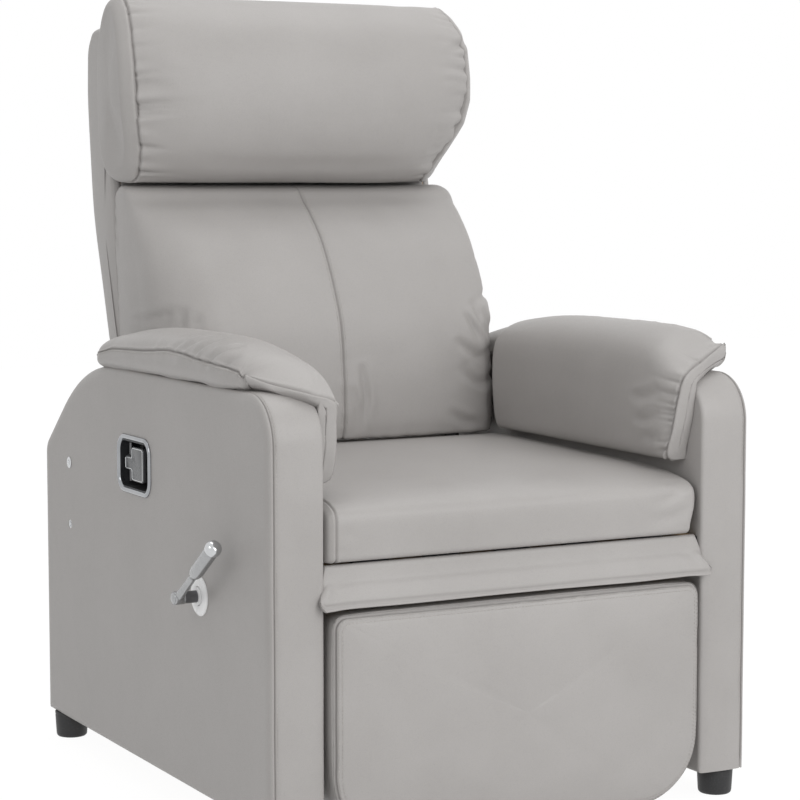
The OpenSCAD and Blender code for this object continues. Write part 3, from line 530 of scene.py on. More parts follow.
class Graph:
    """Small helper that adds and links nodes of one node tree."""

    def __init__(self, tree: bpy.types.NodeTree) -> None:
        """Keep the tree."""
        self.tree = tree

    def add(self, kind: str, inputs: dict | None = None, **settings: object) -> bpy.types.Node:
        """Add a node.

        Args:
            kind: the node's type without the ShaderNode prefix.
            inputs: values or linked sockets for its inputs, by name or number.
            settings: the node's own settings.

        Returns:
            The node.
        """
        node = self.tree.nodes.new("ShaderNode" + kind)
        for key, value in settings.items():
            setattr(node, key, value)
        for key, value in (inputs or {}).items():
            self.feed(node, key, value)
        return node

    def feed(self, node: bpy.types.Node, key: str | int, value: object) -> None:
        """Link a socket to a node's input, or set the input to a value."""
        if isinstance(value, bpy.types.NodeSocket):
            self.tree.links.new(value, node.inputs[key])
        else:
            node.inputs[key].default_value = value

    def where(self) -> bpy.types.NodeSocket:
        """Place in the object's own space."""
        return self.add("TexCoord").outputs["Object"]

    def noise(self, scale: object, detail: float, roughness: float = 0.5) -> bpy.types.NodeSocket:
        """Value of a noise in the object's own space."""
        inputs = {"Vector": self.where(), "Scale": scale, "Detail": detail, "Roughness": roughness}
        return self.add("TexNoise", inputs).outputs[0]

    def mix(self, share: bpy.types.NodeSocket | float, a: object, b: object) -> bpy.types.NodeSocket:
        """Mix two colours by a share."""
        return self.add("Mix", {0: share, 6: a, 7: b}, data_type="RGBA").outputs[2]

    def math(self, work: str, a: object, b: object = 0.0, c: object = 0.0) -> bpy.types.NodeSocket:
        """Result of one sum on sockets or numbers."""
        return self.add("Math", {0: a, 1: b, 2: c}, operation=work).outputs[0]

    def spread(self, value: bpy.types.NodeSocket, low: float, high: float) -> bpy.types.NodeSocket:
        """Value mapped from one range to 0 to 1, and kept inside it."""
        return self.add("MapRange", {0: value, 1: low, 2: high}).outputs[0]

    def seen(self) -> bpy.types.NodeSocket:
        """1 for rays that show the surface itself, straight or in a mirror or glass."""
        rays = self.add("LightPath").outputs
        indirect = self.math("MAXIMUM", rays["Is Glossy Ray"], rays["Is Transmission Ray"])
        return self.math("MAXIMUM", rays["Is Camera Ray"], indirect)


def new_group(name: str, inputs: dict[str, float],
              outputs: tuple[str, ...]) -> tuple[Graph, bpy.types.Node, bpy.types.Node]:
    """Start a shader node group.

    Args:
        name: the group's name.
        inputs: float inputs with their defaults.
        outputs: names of its float outputs.

    Returns:
        A helper for its tree, its input node and its output node.
    """
    tree = bpy.data.node_groups.new(name, "ShaderNodeTree")
    for key, value in inputs.items():
        tree.interface.new_socket(key, in_out="INPUT", socket_type="NodeSocketFloat").default_value = value
    for key in outputs:
        tree.interface.new_socket(key, in_out="OUTPUT", socket_type="NodeSocketFloat")
    return Graph(tree), tree.nodes.new("NodeGroupInput"), tree.nodes.new("NodeGroupOutput")


class SharedEffects:
    """Node groups that several finishes use."""

    def __init__(self) -> None:
        """Build each group once."""
        self.hide = self._hide()
        self.cloudiness = self._cloudiness()
        self.weave = self._weave()

    @staticmethod
    def _hide() -> bpy.types.NodeTree:
        """Pebbled leather: height of the grain and a mask of its valleys."""
        g, start, end = new_group("hide_grain", {"Cell": 620.0, "Crackle": 0.5}, ("Height", "Valleys"))
        where = g.where()
        warp = g.add("TexNoise", {"Vector": where, "Scale": 240.0, "Detail": 2.0}).outputs["Color"]
        bent = g.add("VectorMath", {0: warp, "Scale": 0.0016}, operation="SCALE").outputs[0]
        at = g.add("VectorMath", {0: where, 1: bent}, operation="ADD").outputs[0]
        size = start.outputs["Cell"]
        cells, edge = (g.add("TexVoronoi", {"Vector": at, "Scale": size}, feature=kind).outputs["Distance"]
                       for kind in ("F1", "DISTANCE_TO_EDGE"))
        dome = g.math("MULTIPLY_ADD", cells, -0.55, 0.6)
        lines = g.spread(edge, 0.0, 0.12)
        height = g.math("MULTIPLY_ADD", lines, start.outputs["Crackle"], dome)
        g.feed(end, "Height", g.math("MULTIPLY_ADD", g.noise(2600.0, 2.0), 0.12, height))
        g.feed(end, "Valleys", g.math("SUBTRACT", 1.0, lines))
        return g.tree

    @staticmethod
    def _cloudiness() -> bpy.types.NodeTree:
        """Slow variation over a surface and small specks of dust."""
        g, start, end = new_group("cloudiness", {"Size": 7.0, "Speck": 900.0}, ("Cloud", "Dust"))
        g.feed(end, "Cloud", g.spread(g.noise(start.outputs["Size"], 5.0, 0.55), 0.3, 0.7))
        g.feed(end, "Dust", g.spread(g.noise(start.outputs["Speck"], 1.0), 0.62, 0.75))
        return g.tree

    @staticmethod
    def _weave() -> bpy.types.NodeTree:
        """Over and under of woven tape: height and a mask of one set of threads."""
        g, start, end = new_group("tape_weave", {"Threads": 420.0}, ("Height", "Over"))
        axes = g.add("SeparateXYZ", {0: g.where()}).outputs
        turn = g.math("MULTIPLY", start.outputs[0], 2 * math.pi)
        x, y, z = (g.math("SINE", g.math("MULTIPLY", axes[k], turn)) for k in range(3))
        check = g.math("MULTIPLY", x, g.math("ADD", y, z))
        g.feed(end, "Height", g.math("ABSOLUTE", check))
        g.feed(end, "Over", g.spread(check, -0.2, 0.2))
        return g.tree


@dataclass
class Finish:
    """Base of every finish: one material with a Principled shader."""

    effects: SharedEffects

    def start(self, name: str, roughness: float) -> tuple[bpy.types.Material, Graph, bpy.types.Node]:
        """Start a material.

        Args:
            name: the material's name.
            roughness: its plain roughness.

        Returns:
            The material, a helper for its nodes and its Principled shader.
        """
        mat = bpy.data.materials.new(name)
        mat.use_nodes = True
        shader = mat.node_tree.nodes["Principled BSDF"]
        shader.inputs["Roughness"].default_value = roughness
        return mat, Graph(mat.node_tree), shader

    def cloud(self, g: Graph, size: float, speck: float) -> tuple[bpy.types.NodeSocket, bpy.types.NodeSocket]:
        """Cloud and dust masks of the given sizes."""
        node = g.add("Group", {"Size": size, "Speck": speck}, node_tree=self.effects.cloudiness)
        return node.outputs["Cloud"], node.outputs["Dust"]

    def bump(self, g: Graph, shader: bpy.types.Node, height: bpy.types.NodeSocket, strength: float,
             depth: float, under: bpy.types.NodeSocket | None = None) -> bpy.types.NodeSocket:
        """Lead a height into the shader's normal.

        Args:
            g: helper of the material.
            shader: its Principled shader.
            height: height from 0 to 1.
            strength: share of the bump.
            depth: height in metres that 1 stands for.
            under: a normal that lies below this bump.

        Returns:
            The normal.
        """
        node = g.add("Bump", {"Strength": strength, "Distance": depth, "Height": height})
        if under is not None:
            g.feed(node, "Normal", under)
        g.feed(shader, "Normal", node.outputs[0])
        return node.outputs[0]


@dataclass
class LeatherFinish(Finish):
    """Smooth warm-grey artificial leather with a satin face."""

    colour: Colour = (0.408, 0.392, 0.381, 1.0)
    shade: Colour = (0.368, 0.352, 0.341, 1.0)
    # Dark colour of the seams, also used as painted shade in the grain's valleys
    seam_and_valley_shade_colour: Colour = (0.225, 0.212, 0.203, 1.0)
    gloss: float = 0.43

    def build(self) -> bpy.types.Material:
        """Make the leather."""
        mat, g, shader = self.start("grey_leather", self.gloss)
        grain = g.add("Group", {"Cell": 640.0, "Crackle": 0.45}, node_tree=self.effects.hide).outputs
        cloud, _ = self.cloud(g, 6.0, 700.0)
        seam = g.add("Attribute", attribute_name="seam").outputs["Fac"]
        tone = g.mix(cloud, self.shade, self.colour)
        # Painted shade: the grain's valleys are darkened towards the dark seam colour
        valley_shaded = g.mix(g.math("MULTIPLY", grain["Valleys"], 0.22), tone, self.seam_and_valley_shade_colour)
        g.feed(shader, "Base Color", g.mix(g.math("MULTIPLY", seam, 0.75), valley_shaded, self.seam_and_valley_shade_colour))
        rough = g.math("MULTIPLY_ADD", cloud, 0.07, self.gloss - 0.035)
        rough = g.math("MULTIPLY_ADD", grain["Valleys"], 0.10, rough)
        g.feed(shader, "Roughness", g.math("MULTIPLY_ADD", seam, 0.15, rough))
        low = self.bump(g, shader, g.noise(26.0, 3.0), 0.22, 0.0035)
        self.bump(g, shader, grain["Height"], 0.35, 0.00022, low)
        shader.inputs["Specular IOR Level"].default_value = 0.42
        return mat


@dataclass
class ThreadFinish(Finish):
    """Twisted sewing thread, close to the leather's colour."""

    colour: Colour = (0.46, 0.435, 0.41, 1.0)
    shade: Colour = (0.33, 0.31, 0.29, 1.0)

    def build(self) -> bpy.types.Material:
        """Make the thread."""
        mat, g, shader = self.start("sewing_thread", 0.6)
        cloud, _ = self.cloud(g, 90.0, 2500.0)
        g.feed(shader, "Base Color", g.mix(cloud, self.shade, self.colour))
        inputs = {"Vector": g.where(), "Scale": 900.0, "Distortion": 1.0}
        twist = g.add("TexWave", inputs, bands_direction="DIAGONAL").outputs[1]
        self.bump(g, shader, twist, 0.5, 0.0002)
        return mat


@dataclass
class MetalFinish(Finish):
    """Plated metal with faint rub marks."""

    colour: Colour = (0.60, 0.61, 0.62, 1.0)

    def build(self, name: str, roughness: float, brush: float = 0.0) -> bpy.types.Material:
        """Make the metal.

        Args:
            name: the material's name.
            roughness: plain roughness.
            brush: strength of fine rub lines.

        Returns:
            The material.
        """
        mat, g, shader = self.start(name, roughness)
        shader.inputs["Metallic"].default_value = 1.0
        cloud, dust = self.cloud(g, 45.0, 1500.0)
        dull = tuple(c * 0.86 for c in self.colour[:3]) + (1.0,)
        g.feed(shader, "Base Color", g.mix(cloud, dull, self.colour))
        rough = g.math("MULTIPLY_ADD", cloud, 0.08, roughness - 0.03)
        g.feed(shader, "Roughness", g.math("MULTIPLY_ADD", dust, 0.12, rough))
        self.bump(g, shader, g.noise(1500.0, 3.0), 0.06 + brush, 0.00008)
        return mat


@dataclass
class MouldedFinish(Finish):
    """Moulded plastic or rubber with a fine spark texture."""

    dust_colour: Colour = (0.5, 0.49, 0.47, 1.0)

    def build(self, name: str, colour: tuple[float, float, float], roughness: float) -> bpy.types.Material:
        """Make the plastic.

        Args:
            name: the material's name.
            colour: its colour.
            roughness: its roughness.

        Returns:
            The material.
        """
        mat, g, shader = self.start(name, roughness)
        cloud, dust = self.cloud(g, 30.0, 1100.0)
        light = tuple(min(1.0, c * 1.25 + 0.01) for c in colour) + (1.0,)
        tone = g.mix(g.math("MULTIPLY", cloud, 0.5), (*colour, 1.0), light)
        g.feed(shader, "Base Color", g.mix(g.math("MULTIPLY", dust, 0.10), tone, self.dust_colour))
        g.feed(shader, "Roughness", g.math("MULTIPLY_ADD", cloud, 0.1, roughness - 0.05))
        self.bump(g, shader, g.noise(1900.0, 2.0), 0.18, 0.00012)
        return mat


@dataclass
class TimberFinish(Finish):
    """Planed softwood and plywood with growth rings."""

    early: Colour = (0.60, 0.44, 0.27, 1.0)
    late: Colour = (0.42, 0.28, 0.15, 1.0)
    pore: Colour = (0.30, 0.19, 0.10, 1.0)

    def build(self) -> bpy.types.Material:
        """Make the timber."""
        mat, g, shader = self.start("planed_timber", 0.62)
        stretched = g.add("Mapping", {"Vector": g.where(), "Scale": (9.0, 1.2, 9.0)}).outputs[0]
        inputs = {"Vector": stretched, "Scale": 5.0, "Distortion": 7.0, "Detail": 3.0}
        rings = g.add("TexWave", inputs, wave_type="RINGS").outputs[1]
        pores = g.add("TexNoise", {"Vector": stretched, "Scale": 90.0, "Detail": 4.0}).outputs[0]
        tone = g.mix(rings, self.early, self.late)
        g.feed(shader, "Base Color", g.mix(g.math("MULTIPLY", pores, 0.35), tone, self.pore))
        g.feed(shader, "Roughness", g.math("MULTIPLY_ADD", pores, 0.2, 0.5))
        self.bump(g, shader, pores, 0.3, 0.0003)
        return mat


@dataclass
class PaintedSteelFinish(Finish):
    """Black painted steel with a light orange-peel face and bare specks."""

    dark: Colour = (0.022, 0.022, 0.024, 1.0)
    light: Colour = (0.045, 0.045, 0.048, 1.0)
    metal: Colour = (0.32, 0.31, 0.30, 1.0)

    def build(self) -> bpy.types.Material:
        """Make the painted steel."""
        mat, g, shader = self.start("painted_steel", 0.42)
        cloud, dust = self.cloud(g, 18.0, 420.0)
        bare = g.spread(dust, 0.75, 1.0)
        g.feed(shader, "Base Color", g.mix(bare, g.mix(cloud, self.dark, self.light), self.metal))
        g.feed(shader, "Metallic", g.math("MULTIPLY", bare, 0.8))
        g.feed(shader, "Roughness", g.math("MULTIPLY_ADD", cloud, 0.12, 0.36))
        self.bump(g, shader, g.noise(520.0, 1.0), 0.25, 0.0002)
        return mat


@dataclass
class WebbingFinish(Finish):
    """Woven elastic webbing."""

    under: Colour = (0.03, 0.03, 0.033, 1.0)
    over: Colour = (0.10, 0.10, 0.11, 1.0)
    lint: Colour = (0.3, 0.3, 0.29, 1.0)

    def build(self) -> bpy.types.Material:
        """Make the webbing."""
        mat, g, shader = self.start("elastic_webbing", 0.85)
        weave = g.add("Group", {"Threads": 430.0}, node_tree=self.effects.weave).outputs
        _, dust = self.cloud(g, 25.0, 800.0)
        tone = g.mix(weave["Over"], self.under, self.over)
        g.feed(shader, "Base Color", g.mix(g.math("MULTIPLY", dust, 0.3), tone, self.lint))
        self.bump(g, shader, weave["Height"], 0.6, 0.0006)
        return mat


class Wardrobe:
    """Every finish of the chair, built once."""

    def __init__(self) -> None:
        """Build the materials."""
        fx = SharedEffects()
        self.leather = LeatherFinish(fx).build()
        self.thread = ThreadFinish(fx).build()
        self.chrome = MetalFinish(fx).build("bright_chrome", 0.10)
        self.satin = MetalFinish(fx, (0.40, 0.405, 0.41, 1.0)).build("satin_chrome", 0.24, 0.08)
        self.smoked = MetalFinish(fx, (0.36, 0.37, 0.385, 1.0)).build("smoked_chrome", 0.09)
        # Dark metal as painted shade for the lock shaft beside its plate and the paddle pin in the cup's
        # recess
        self.shadow_dark_metal = MetalFinish(fx, (0.16, 0.16, 0.165, 1.0)).build("shadow_darkened_steel", 0.35, 0.05)
        self.black = MouldedFinish(fx).build("black_plastic", (0.012, 0.012, 0.013), 0.5)
        self.recess = MouldedFinish(fx).build("recess_plastic", (0.022, 0.023, 0.025), 0.30)
        self.grip = MouldedFinish(fx).build("paddle_plastic", (0.075, 0.078, 0.082), 0.26)
        self.white = MouldedFinish(fx).build("white_plastic", (0.80, 0.80, 0.80), 0.3)
        self.timber = TimberFinish(fx).build()
        self.steel = PaintedSteelFinish(fx).build()
        self.webbing = WebbingFinish(fx).build()

    def of_slot(self, slot: str) -> bpy.types.Material:
        """The material of one of the record's slots."""
        return {
            "leather": self.leather, "timber": self.timber, "steel": self.steel, "chrome": self.chrome,
            "webbing": self.webbing, "black_plastic": self.black, "grey_plastic": self.grip,
            "white_plastic": self.white,
        }[slot]


def dress(obj: bpy.types.Object, body: str, material: bpy.types.Material,
          nodes: tuple[str, ...] = ()) -> bpy.types.Object:
    """Give a piece its body and material, and hide the nodes that it stands for.

    Args:
        obj: the piece.
        body: the body that it moves with.
        material: its material.
        nodes: nodes that it replaces.

    Returns:
        The piece.
    """
    obj.data.materials.append(material)
    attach(obj, body)
    if nodes:
        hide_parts(*nodes)
    LOG.info("%s: %d corners on %s", obj.name, len(obj.data.vertices), body)
    return obj


def cover(name: str, body: str, node: str, loft: Loft, mark: Array, fill: float,
          wardrobe: Wardrobe) -> bpy.types.Object:
    """Make a padded leather piece of a form.

    Args:
        name: the piece's name.
        body: the body that it moves with.
        node: the node that it replaces.
        loft: its form.
        mark: how much of a seam each ring point is.
        fill: how firmly it is filled, from 0 to 1; not used.
        wardrobe: the finishes.

    Returns:
        The piece.
    """
    points, faces = loft.mesh()
    obj = make_object(name, points, faces, {"seam": np.concatenate([mark.reshape(-1), [0, 0]])})
    dress(obj, body, wardrobe.leather, (node,))
    return obj


# Stitches


class Stitching:
    """Rows of single stitches, joined into one piece."""

    LENGTH = 3.4
    PITCH = 5.0
    RADIUS = 0.45
    SIDES = 5
    # Share of the stitch, share of its radius and height over the leather
    STEPS = ((0.0, 0.35, -0.35), (0.22, 1.0, 0.0), (0.78, 1.0, 0.0), (1.0, 0.35, -0.35))

    def __init__(self) -> None:
        """Start with no stitches."""
        self.parts: list[tuple[Array, list]] = []

    def line(self, path: Array, up: Array, lift: float = 0.15) -> None:
        """Sew along a path.

        Args:
            path: points of the line on the leather.
            up: direction away from the leather at each point.
            lift: how far the thread lies over the leather.
        """
        run = run_along(path)
        count = int(run[-1] // self.PITCH)
        mids = (np.arange(count) + 0.5) * run[-1] / count

        def at(s: Array, of: Array) -> Array:
            """Values of a row list at the places s."""
            return np.stack([np.interp(s, run, of[:, k]) for k in range(3)], axis=1)

        a, b = at(mids - self.LENGTH / 2, path), at(mids + self.LENGTH / 2, path)
        n = unit(at(mids, up))
        u = np.cross(n, unit(b - a))
        angles = np.linspace(0, 2 * np.pi, self.SIDES, endpoint=False)[None, :, None]
        around = np.cos(angles) * u[:, None] + np.sin(angles) * n[:, None]
        rings = []
        for share, size, drop in self.STEPS:
            mid = a + (b - a) * share + n * (lift + drop)
            rings.append(mid[:, None] + around * self.RADIUS * size)
        faces = ring_faces(self.SIDES, [(i, i + 1) for i in range(len(rings) - 1)])
        faces += [(0, 4, 3, 2, 1), (15, 16, 17, 18, 19)]
        self.parts += [(stitch.reshape(-1, 3), faces) for stitch in np.stack(rings, axis=1)]

    def finish(self, name: str, body: str, wardrobe: Wardrobe) -> None:
        """Make the piece, where anything was sewn.

        Args:
            name: the piece's name.
            body: the body that it moves with.
            wardrobe: the finishes.
        """
        if self.parts:
            dress(make_object(name, *join_parts(self.parts)), body, wardrobe.thread)


# Cushions whose sections run across the chair


@dataclass
class WideCushion:
    """A cushion made of upright sections that follow each other from side to side."""

    name: str
    body: str
    node: str
    half: float
    edge: float
    seam: float
    fill: float
    front: float
    bottom: float
    depth: float
    height: float
    columns: int = 110
    step: float = 10.0
    bow: float = 3.0
    cap: float = 24.0
    slack: float = 0.0

    RIM_TURNS = np.sin(np.radians([22, 42, 60, 76, 90]))
    CAP_SHARES = (0.93, 0.82, 0.66, 0.46, 0.24)
    CAP_STEPS = np.array([1.0, 2, 3, 4, 5])
    SEAM_STEPS = np.array([-4.5, -2.6, -1.2, 0, 1.2, 2.6, 4.5])
    CREASES = ()

    def section(self, x: float) -> Array:
        """Points of the section at distance x from the middle."""
        raise NotImplementedError

    def smooth_section(self, shape: Array, draw: float) -> Array:
        """Even points of a section of the given shape, drawn in towards its middle, as y and z."""
        size = np.array([self.depth, self.height])
        corner = np.array([self.front, self.bottom])
        base = corner + shape * size
        q = spline(base, even_places(base, self.columns), loop=True)
        return towards_middle(q, corner + size / 2, draw)

    def stations(self) -> Array:
        """Places of the sections across the chair."""
        flat = self.half - self.edge
        inner = np.linspace(-flat, flat, int(2 * flat / self.step) + 1)
        rim = flat + self.edge * self.RIM_TURNS
        return np.concatenate([-rim[::-1], inner, rim])

    def form(self) -> tuple[Loft, Array]:
        """The plain form and the place of each of its rings."""
        xs = self.stations()
        rings = [self.section(x) for x in xs]
        caps = []
        for ring, sign in ((rings[0], -1), (rings[-1], 1)):
            mid = ring.mean(axis=0)
            caps.append([mid + (ring - mid) * f + np.array([sign * self.bow * (1 - f * f), 0, 0])
                         for f in self.CAP_SHARES])
        rings = np.array(caps[0][::-1] + rings + caps[1])
        places = np.concatenate([-self.half - self.CAP_STEPS[::-1], xs, self.half + self.CAP_STEPS])
        return Loft(rings, np.array([rings[0].mean(axis=0), rings[-1].mean(axis=0)])), places

    def pins(self, rings: Array, places: Array) -> Array:
        """How firmly the cloth is held at each ring point."""
        hold = np.full(rings.shape[:2], 0.22)
        for sign in (-1, 1):
            hold = np.maximum(hold, bell(places - sign * self.seam, 5.0)[:, None])
        hold[np.abs(places) > self.half] = 0.6
        return hold

    def fine_rows(self, places: Array) -> Array:
        """Ring numbers of the final form, closer near the seams."""
        rows = [np.arange(0, len(places) - 0.99, 0.5)]
        for s in self.seam_places():
            rows.append(np.interp(s + self.SEAM_STEPS, places, np.arange(len(places))))
        rows = np.sort(np.concatenate(rows))
        keep = [rows[0]]
        for r in rows[1:]:
            if r - keep[-1] > 0.07:
                keep.append(r)
        return np.array(keep)

    def seam_places(self) -> tuple[float, ...]:
        """Places of the seams that run round the cushion."""
        return (-self.seam, self.seam)

    def details(self, p: Array, x: Array, run: Array) -> Array:
        """Heights that are added along the normals.

        Args:
            p: ring points of the final form.
            x: place of each ring across the chair.
            run: distance of each column along the section.

        Returns:
            One height per ring point.
        """
        raise NotImplementedError

    def seam_share(self, p: Array, x: Array) -> Array:
        """How much of a seam shows at each ring point."""
        return np.ones(p.shape[:2])

    def groove(self, x: Array, at: float, depth: float, width: float = 1.5) -> Array:
        """A sewn groove round the cushion, with the leather rolled up beside it."""
        return seam_groove(x - at, depth, width, 0.35 * depth, 3.4, 1.8)[:, None]

    def end_gathers(self, folds: Gathers, x: Array, run: Array, s: float) -> Array:
        """Folds that spread from the seam at s towards the middle."""
        along, away = np.broadcast_arrays(run[None, :], (self.seam - np.abs(x))[:, None])
        return folds(along, away) * (np.sign(x) == np.sign(s))[:, None]

    def sew(self, loft: Loft, x: Array, stitching: Stitching) -> None:
        """Rows of stitches, none unless a cushion has its own."""

    def make(self, wardrobe: Wardrobe) -> bpy.types.Object:
        """Build the cushion.

        Args:
            wardrobe: the finishes.

        Returns:
            The piece.
        """
        coarse, places = self.form()
        swollen = coarse.inflated(self.pins(coarse.rings, places), self.cap, self.slack)
        rows = self.fine_rows(places)
        loft = swollen.read(rows, np.arange(0, self.columns - 0.01, 0.5))
        x = np.interp(rows, np.arange(len(places)), places)
        run = run_along(loft.rings[len(x) // 2])
        h = self.details(loft.rings, x, run)
        for crease in self.CREASES:
            h = h + crease(loft.rings)
        loft.rings = loft.rings + loft.normals() * h[..., None]
        stitching = Stitching()
        self.sew(loft, x, stitching)
        mark = np.zeros(loft.rings.shape[:2])
        for s in self.seam_places():
            mark = np.maximum(mark, bell(x - s, 1.3)[:, None] * self.seam_share(loft.rings, x))
        obj = cover(self.name, self.body, self.node, loft, mark, self.fill, wardrobe)
        stitching.finish(self.name + "_stitches", self.body, wardrobe)
        return obj


@dataclass
class LumbarCushion(WideCushion):
    """The tall cushion behind the sitter's back, sewn together down its middle."""

    name: str = "lumbar_back_cushion"
    body: str = "backrest"
    node: str = "lumbar_cushion"
    half: float = 272.0
    edge: float = 18.0
    seam: float = 262.0
    fill: float = 0.7
    front: float = 104.0
    bottom: float = 462.0
    depth: float = 226.0
    height: float = 374.0

    SHAPE = np.array([
        [0.71, 0.99], [0.63, 0.943], [0.523, 0.895], [0.338, 0.784], [0.171, 0.624], [0.054, 0.468],
        [0.013, 0.311], [0, 0.151], [0.012, 0.03], [0.08, -0.004], [0.5, -0.004], [0.62, 0.03], [0.8, 0.2],
        [0.925, 0.581], [0.98, 0.93], [0.88, 1]])

    # Pressed-in folds of the front as x and z, each with its width and depth
    FOLDS = (
        (((234, 656), (240, 636), (248, 612)), 5.5, 5.6),
        (((218, 640), (226, 624), (238, 604)), 5.5, 5.6),
        (((250, 644), (255, 628), (256, 608)), 5, 4.4),
        (((200, 600), (220, 584), (242, 572)), 7, 4.2),
        (((206, 556), (226, 540), (244, 534)), 7, 4.0),
        (((184, 492), (208, 480), (232, 476)), 7, 4.2),
        (((30, 566), (35, 524), (28, 480)), 6, 4.8),
        (((16, 536), (20, 504), (15, 474)), 4.5, 3.4),
        (((-26, 480), (-36, 530)), 6, 3.2),
        (((-258, 634), (-252, 658)), 5.5, 4.4),
        (((-246, 630), (-237, 658)), 6, 4.8),
        (((-268, 640), (-262, 654)), 5, 3.4),
        (((-226, 634), (-220, 648)), 5.5, 2.8),
        (((-150, 505), (-118, 520), (-86, 512)), 9, 1.6),
    )

    def section(self, x: float) -> Array:
        """Points of the section at distance x from the middle."""
        left = x > 0
        draw = edge_draw(x, self.half, self.edge if left else 7.0)
        q = self.smooth_section(self.SHAPE, draw)
        q[:, 1] -= (0.7 * draw - 0.5 * ramp(x / 120)) * ramp((self.bottom + 60 - q[:, 1]) / 60.0) * left
        rear = self.front + self.depth
        wide, deep = (88.0, 0.44) if x < 0 else (30.0, 0.12)
        over = min(max((abs(x) - self.half + wide) / wide, 0.0), 1.0)
        fall = 1 - 0.06 * abs(x / self.half) ** 3 - deep * (1 - math.sqrt(1 - over * over))
        return np.stack([np.full(len(q), x), rear - (rear - q[:, 0]) * fall, q[:, 1]], axis=1)

    def seam_places(self) -> tuple[float, ...]:
        """Only the middle seam runs round this cushion."""
        return (0.0,)

    def pins(self, rings: Array, places: Array) -> Array:
        """The middle seam and the rear hold the cloth too."""
        front = rings[..., 1] < self.front + 0.62 * self.depth
        hold = np.maximum(super().pins(rings, places), bell(places, 6.0)[:, None] * front * 0.9)
        return np.where(rings[..., 1] > self.front + 0.75 * self.depth, 0.8, hold)

    def details(self, p: Array, x: Array, run: Array) -> Array:
        """Seams, gathers beside them and the creases near the seat."""
        px, py, pz = p[..., 0], p[..., 1], p[..., 2]
        up = (pz - self.bottom) / self.height
        front = ramp((self.front + 0.75 * self.depth - py) / 40.0)
        ones = np.ones(p.shape[:2])
        rear_gap = np.maximum(self.front + self.depth - 8 - py, 0)
        h = Gathers(31, 5.2, 34.0, 22.0)(pz, rear_gap) * ramp((-218 - px) / 40.0)
        edge_gap = np.maximum(self.half - px, 0)
        window = ramp((0.74 - up) / 0.16) * ramp((up - 0.1) / 0.1)
        h += Gathers(47, 7.6, 58.0, 24.0)(pz + 0.45 * edge_gap, edge_gap) * front * window
        h += self.groove(x, 0.0, 2.2) * front
        low = ramp((0.55 - up) / 0.35)
        h += Gathers(71, 1.3, 15.0, 16.0)(run[None, :] * ones, np.abs(x)[:, None] * ones) * front * low
        h += Gathers(83, 1.6, 34.0, 30.0)(x[:, None] * ones, np.maximum(up, 0) * self.height) * front
        flat = p * np.array([1.0, 0.0, 1.0])
        for line, width, depth in self.FOLDS:
            h += Crease(tuple((fold_x, 0.0, fold_z) for fold_x, fold_z in line), width, depth)(flat) * front
        return h + Swell(11, 120.0, 1.6)(p) * front

    def sew(self, loft: Loft, x: Array, stitching: Stitching) -> None:
        """A topstitch on each side of the middle seam."""
        normals = loft.normals()
        for off in (-4.2, 4.2):
            row = int(np.argmin(np.abs(x - off)))
            path = loft.rings[row]
            keep = (path[:, 1] < self.front + 0.7 * self.depth) & (path[:, 2] > self.bottom + 8)
            stitching.line(path[keep], normals[row][keep])


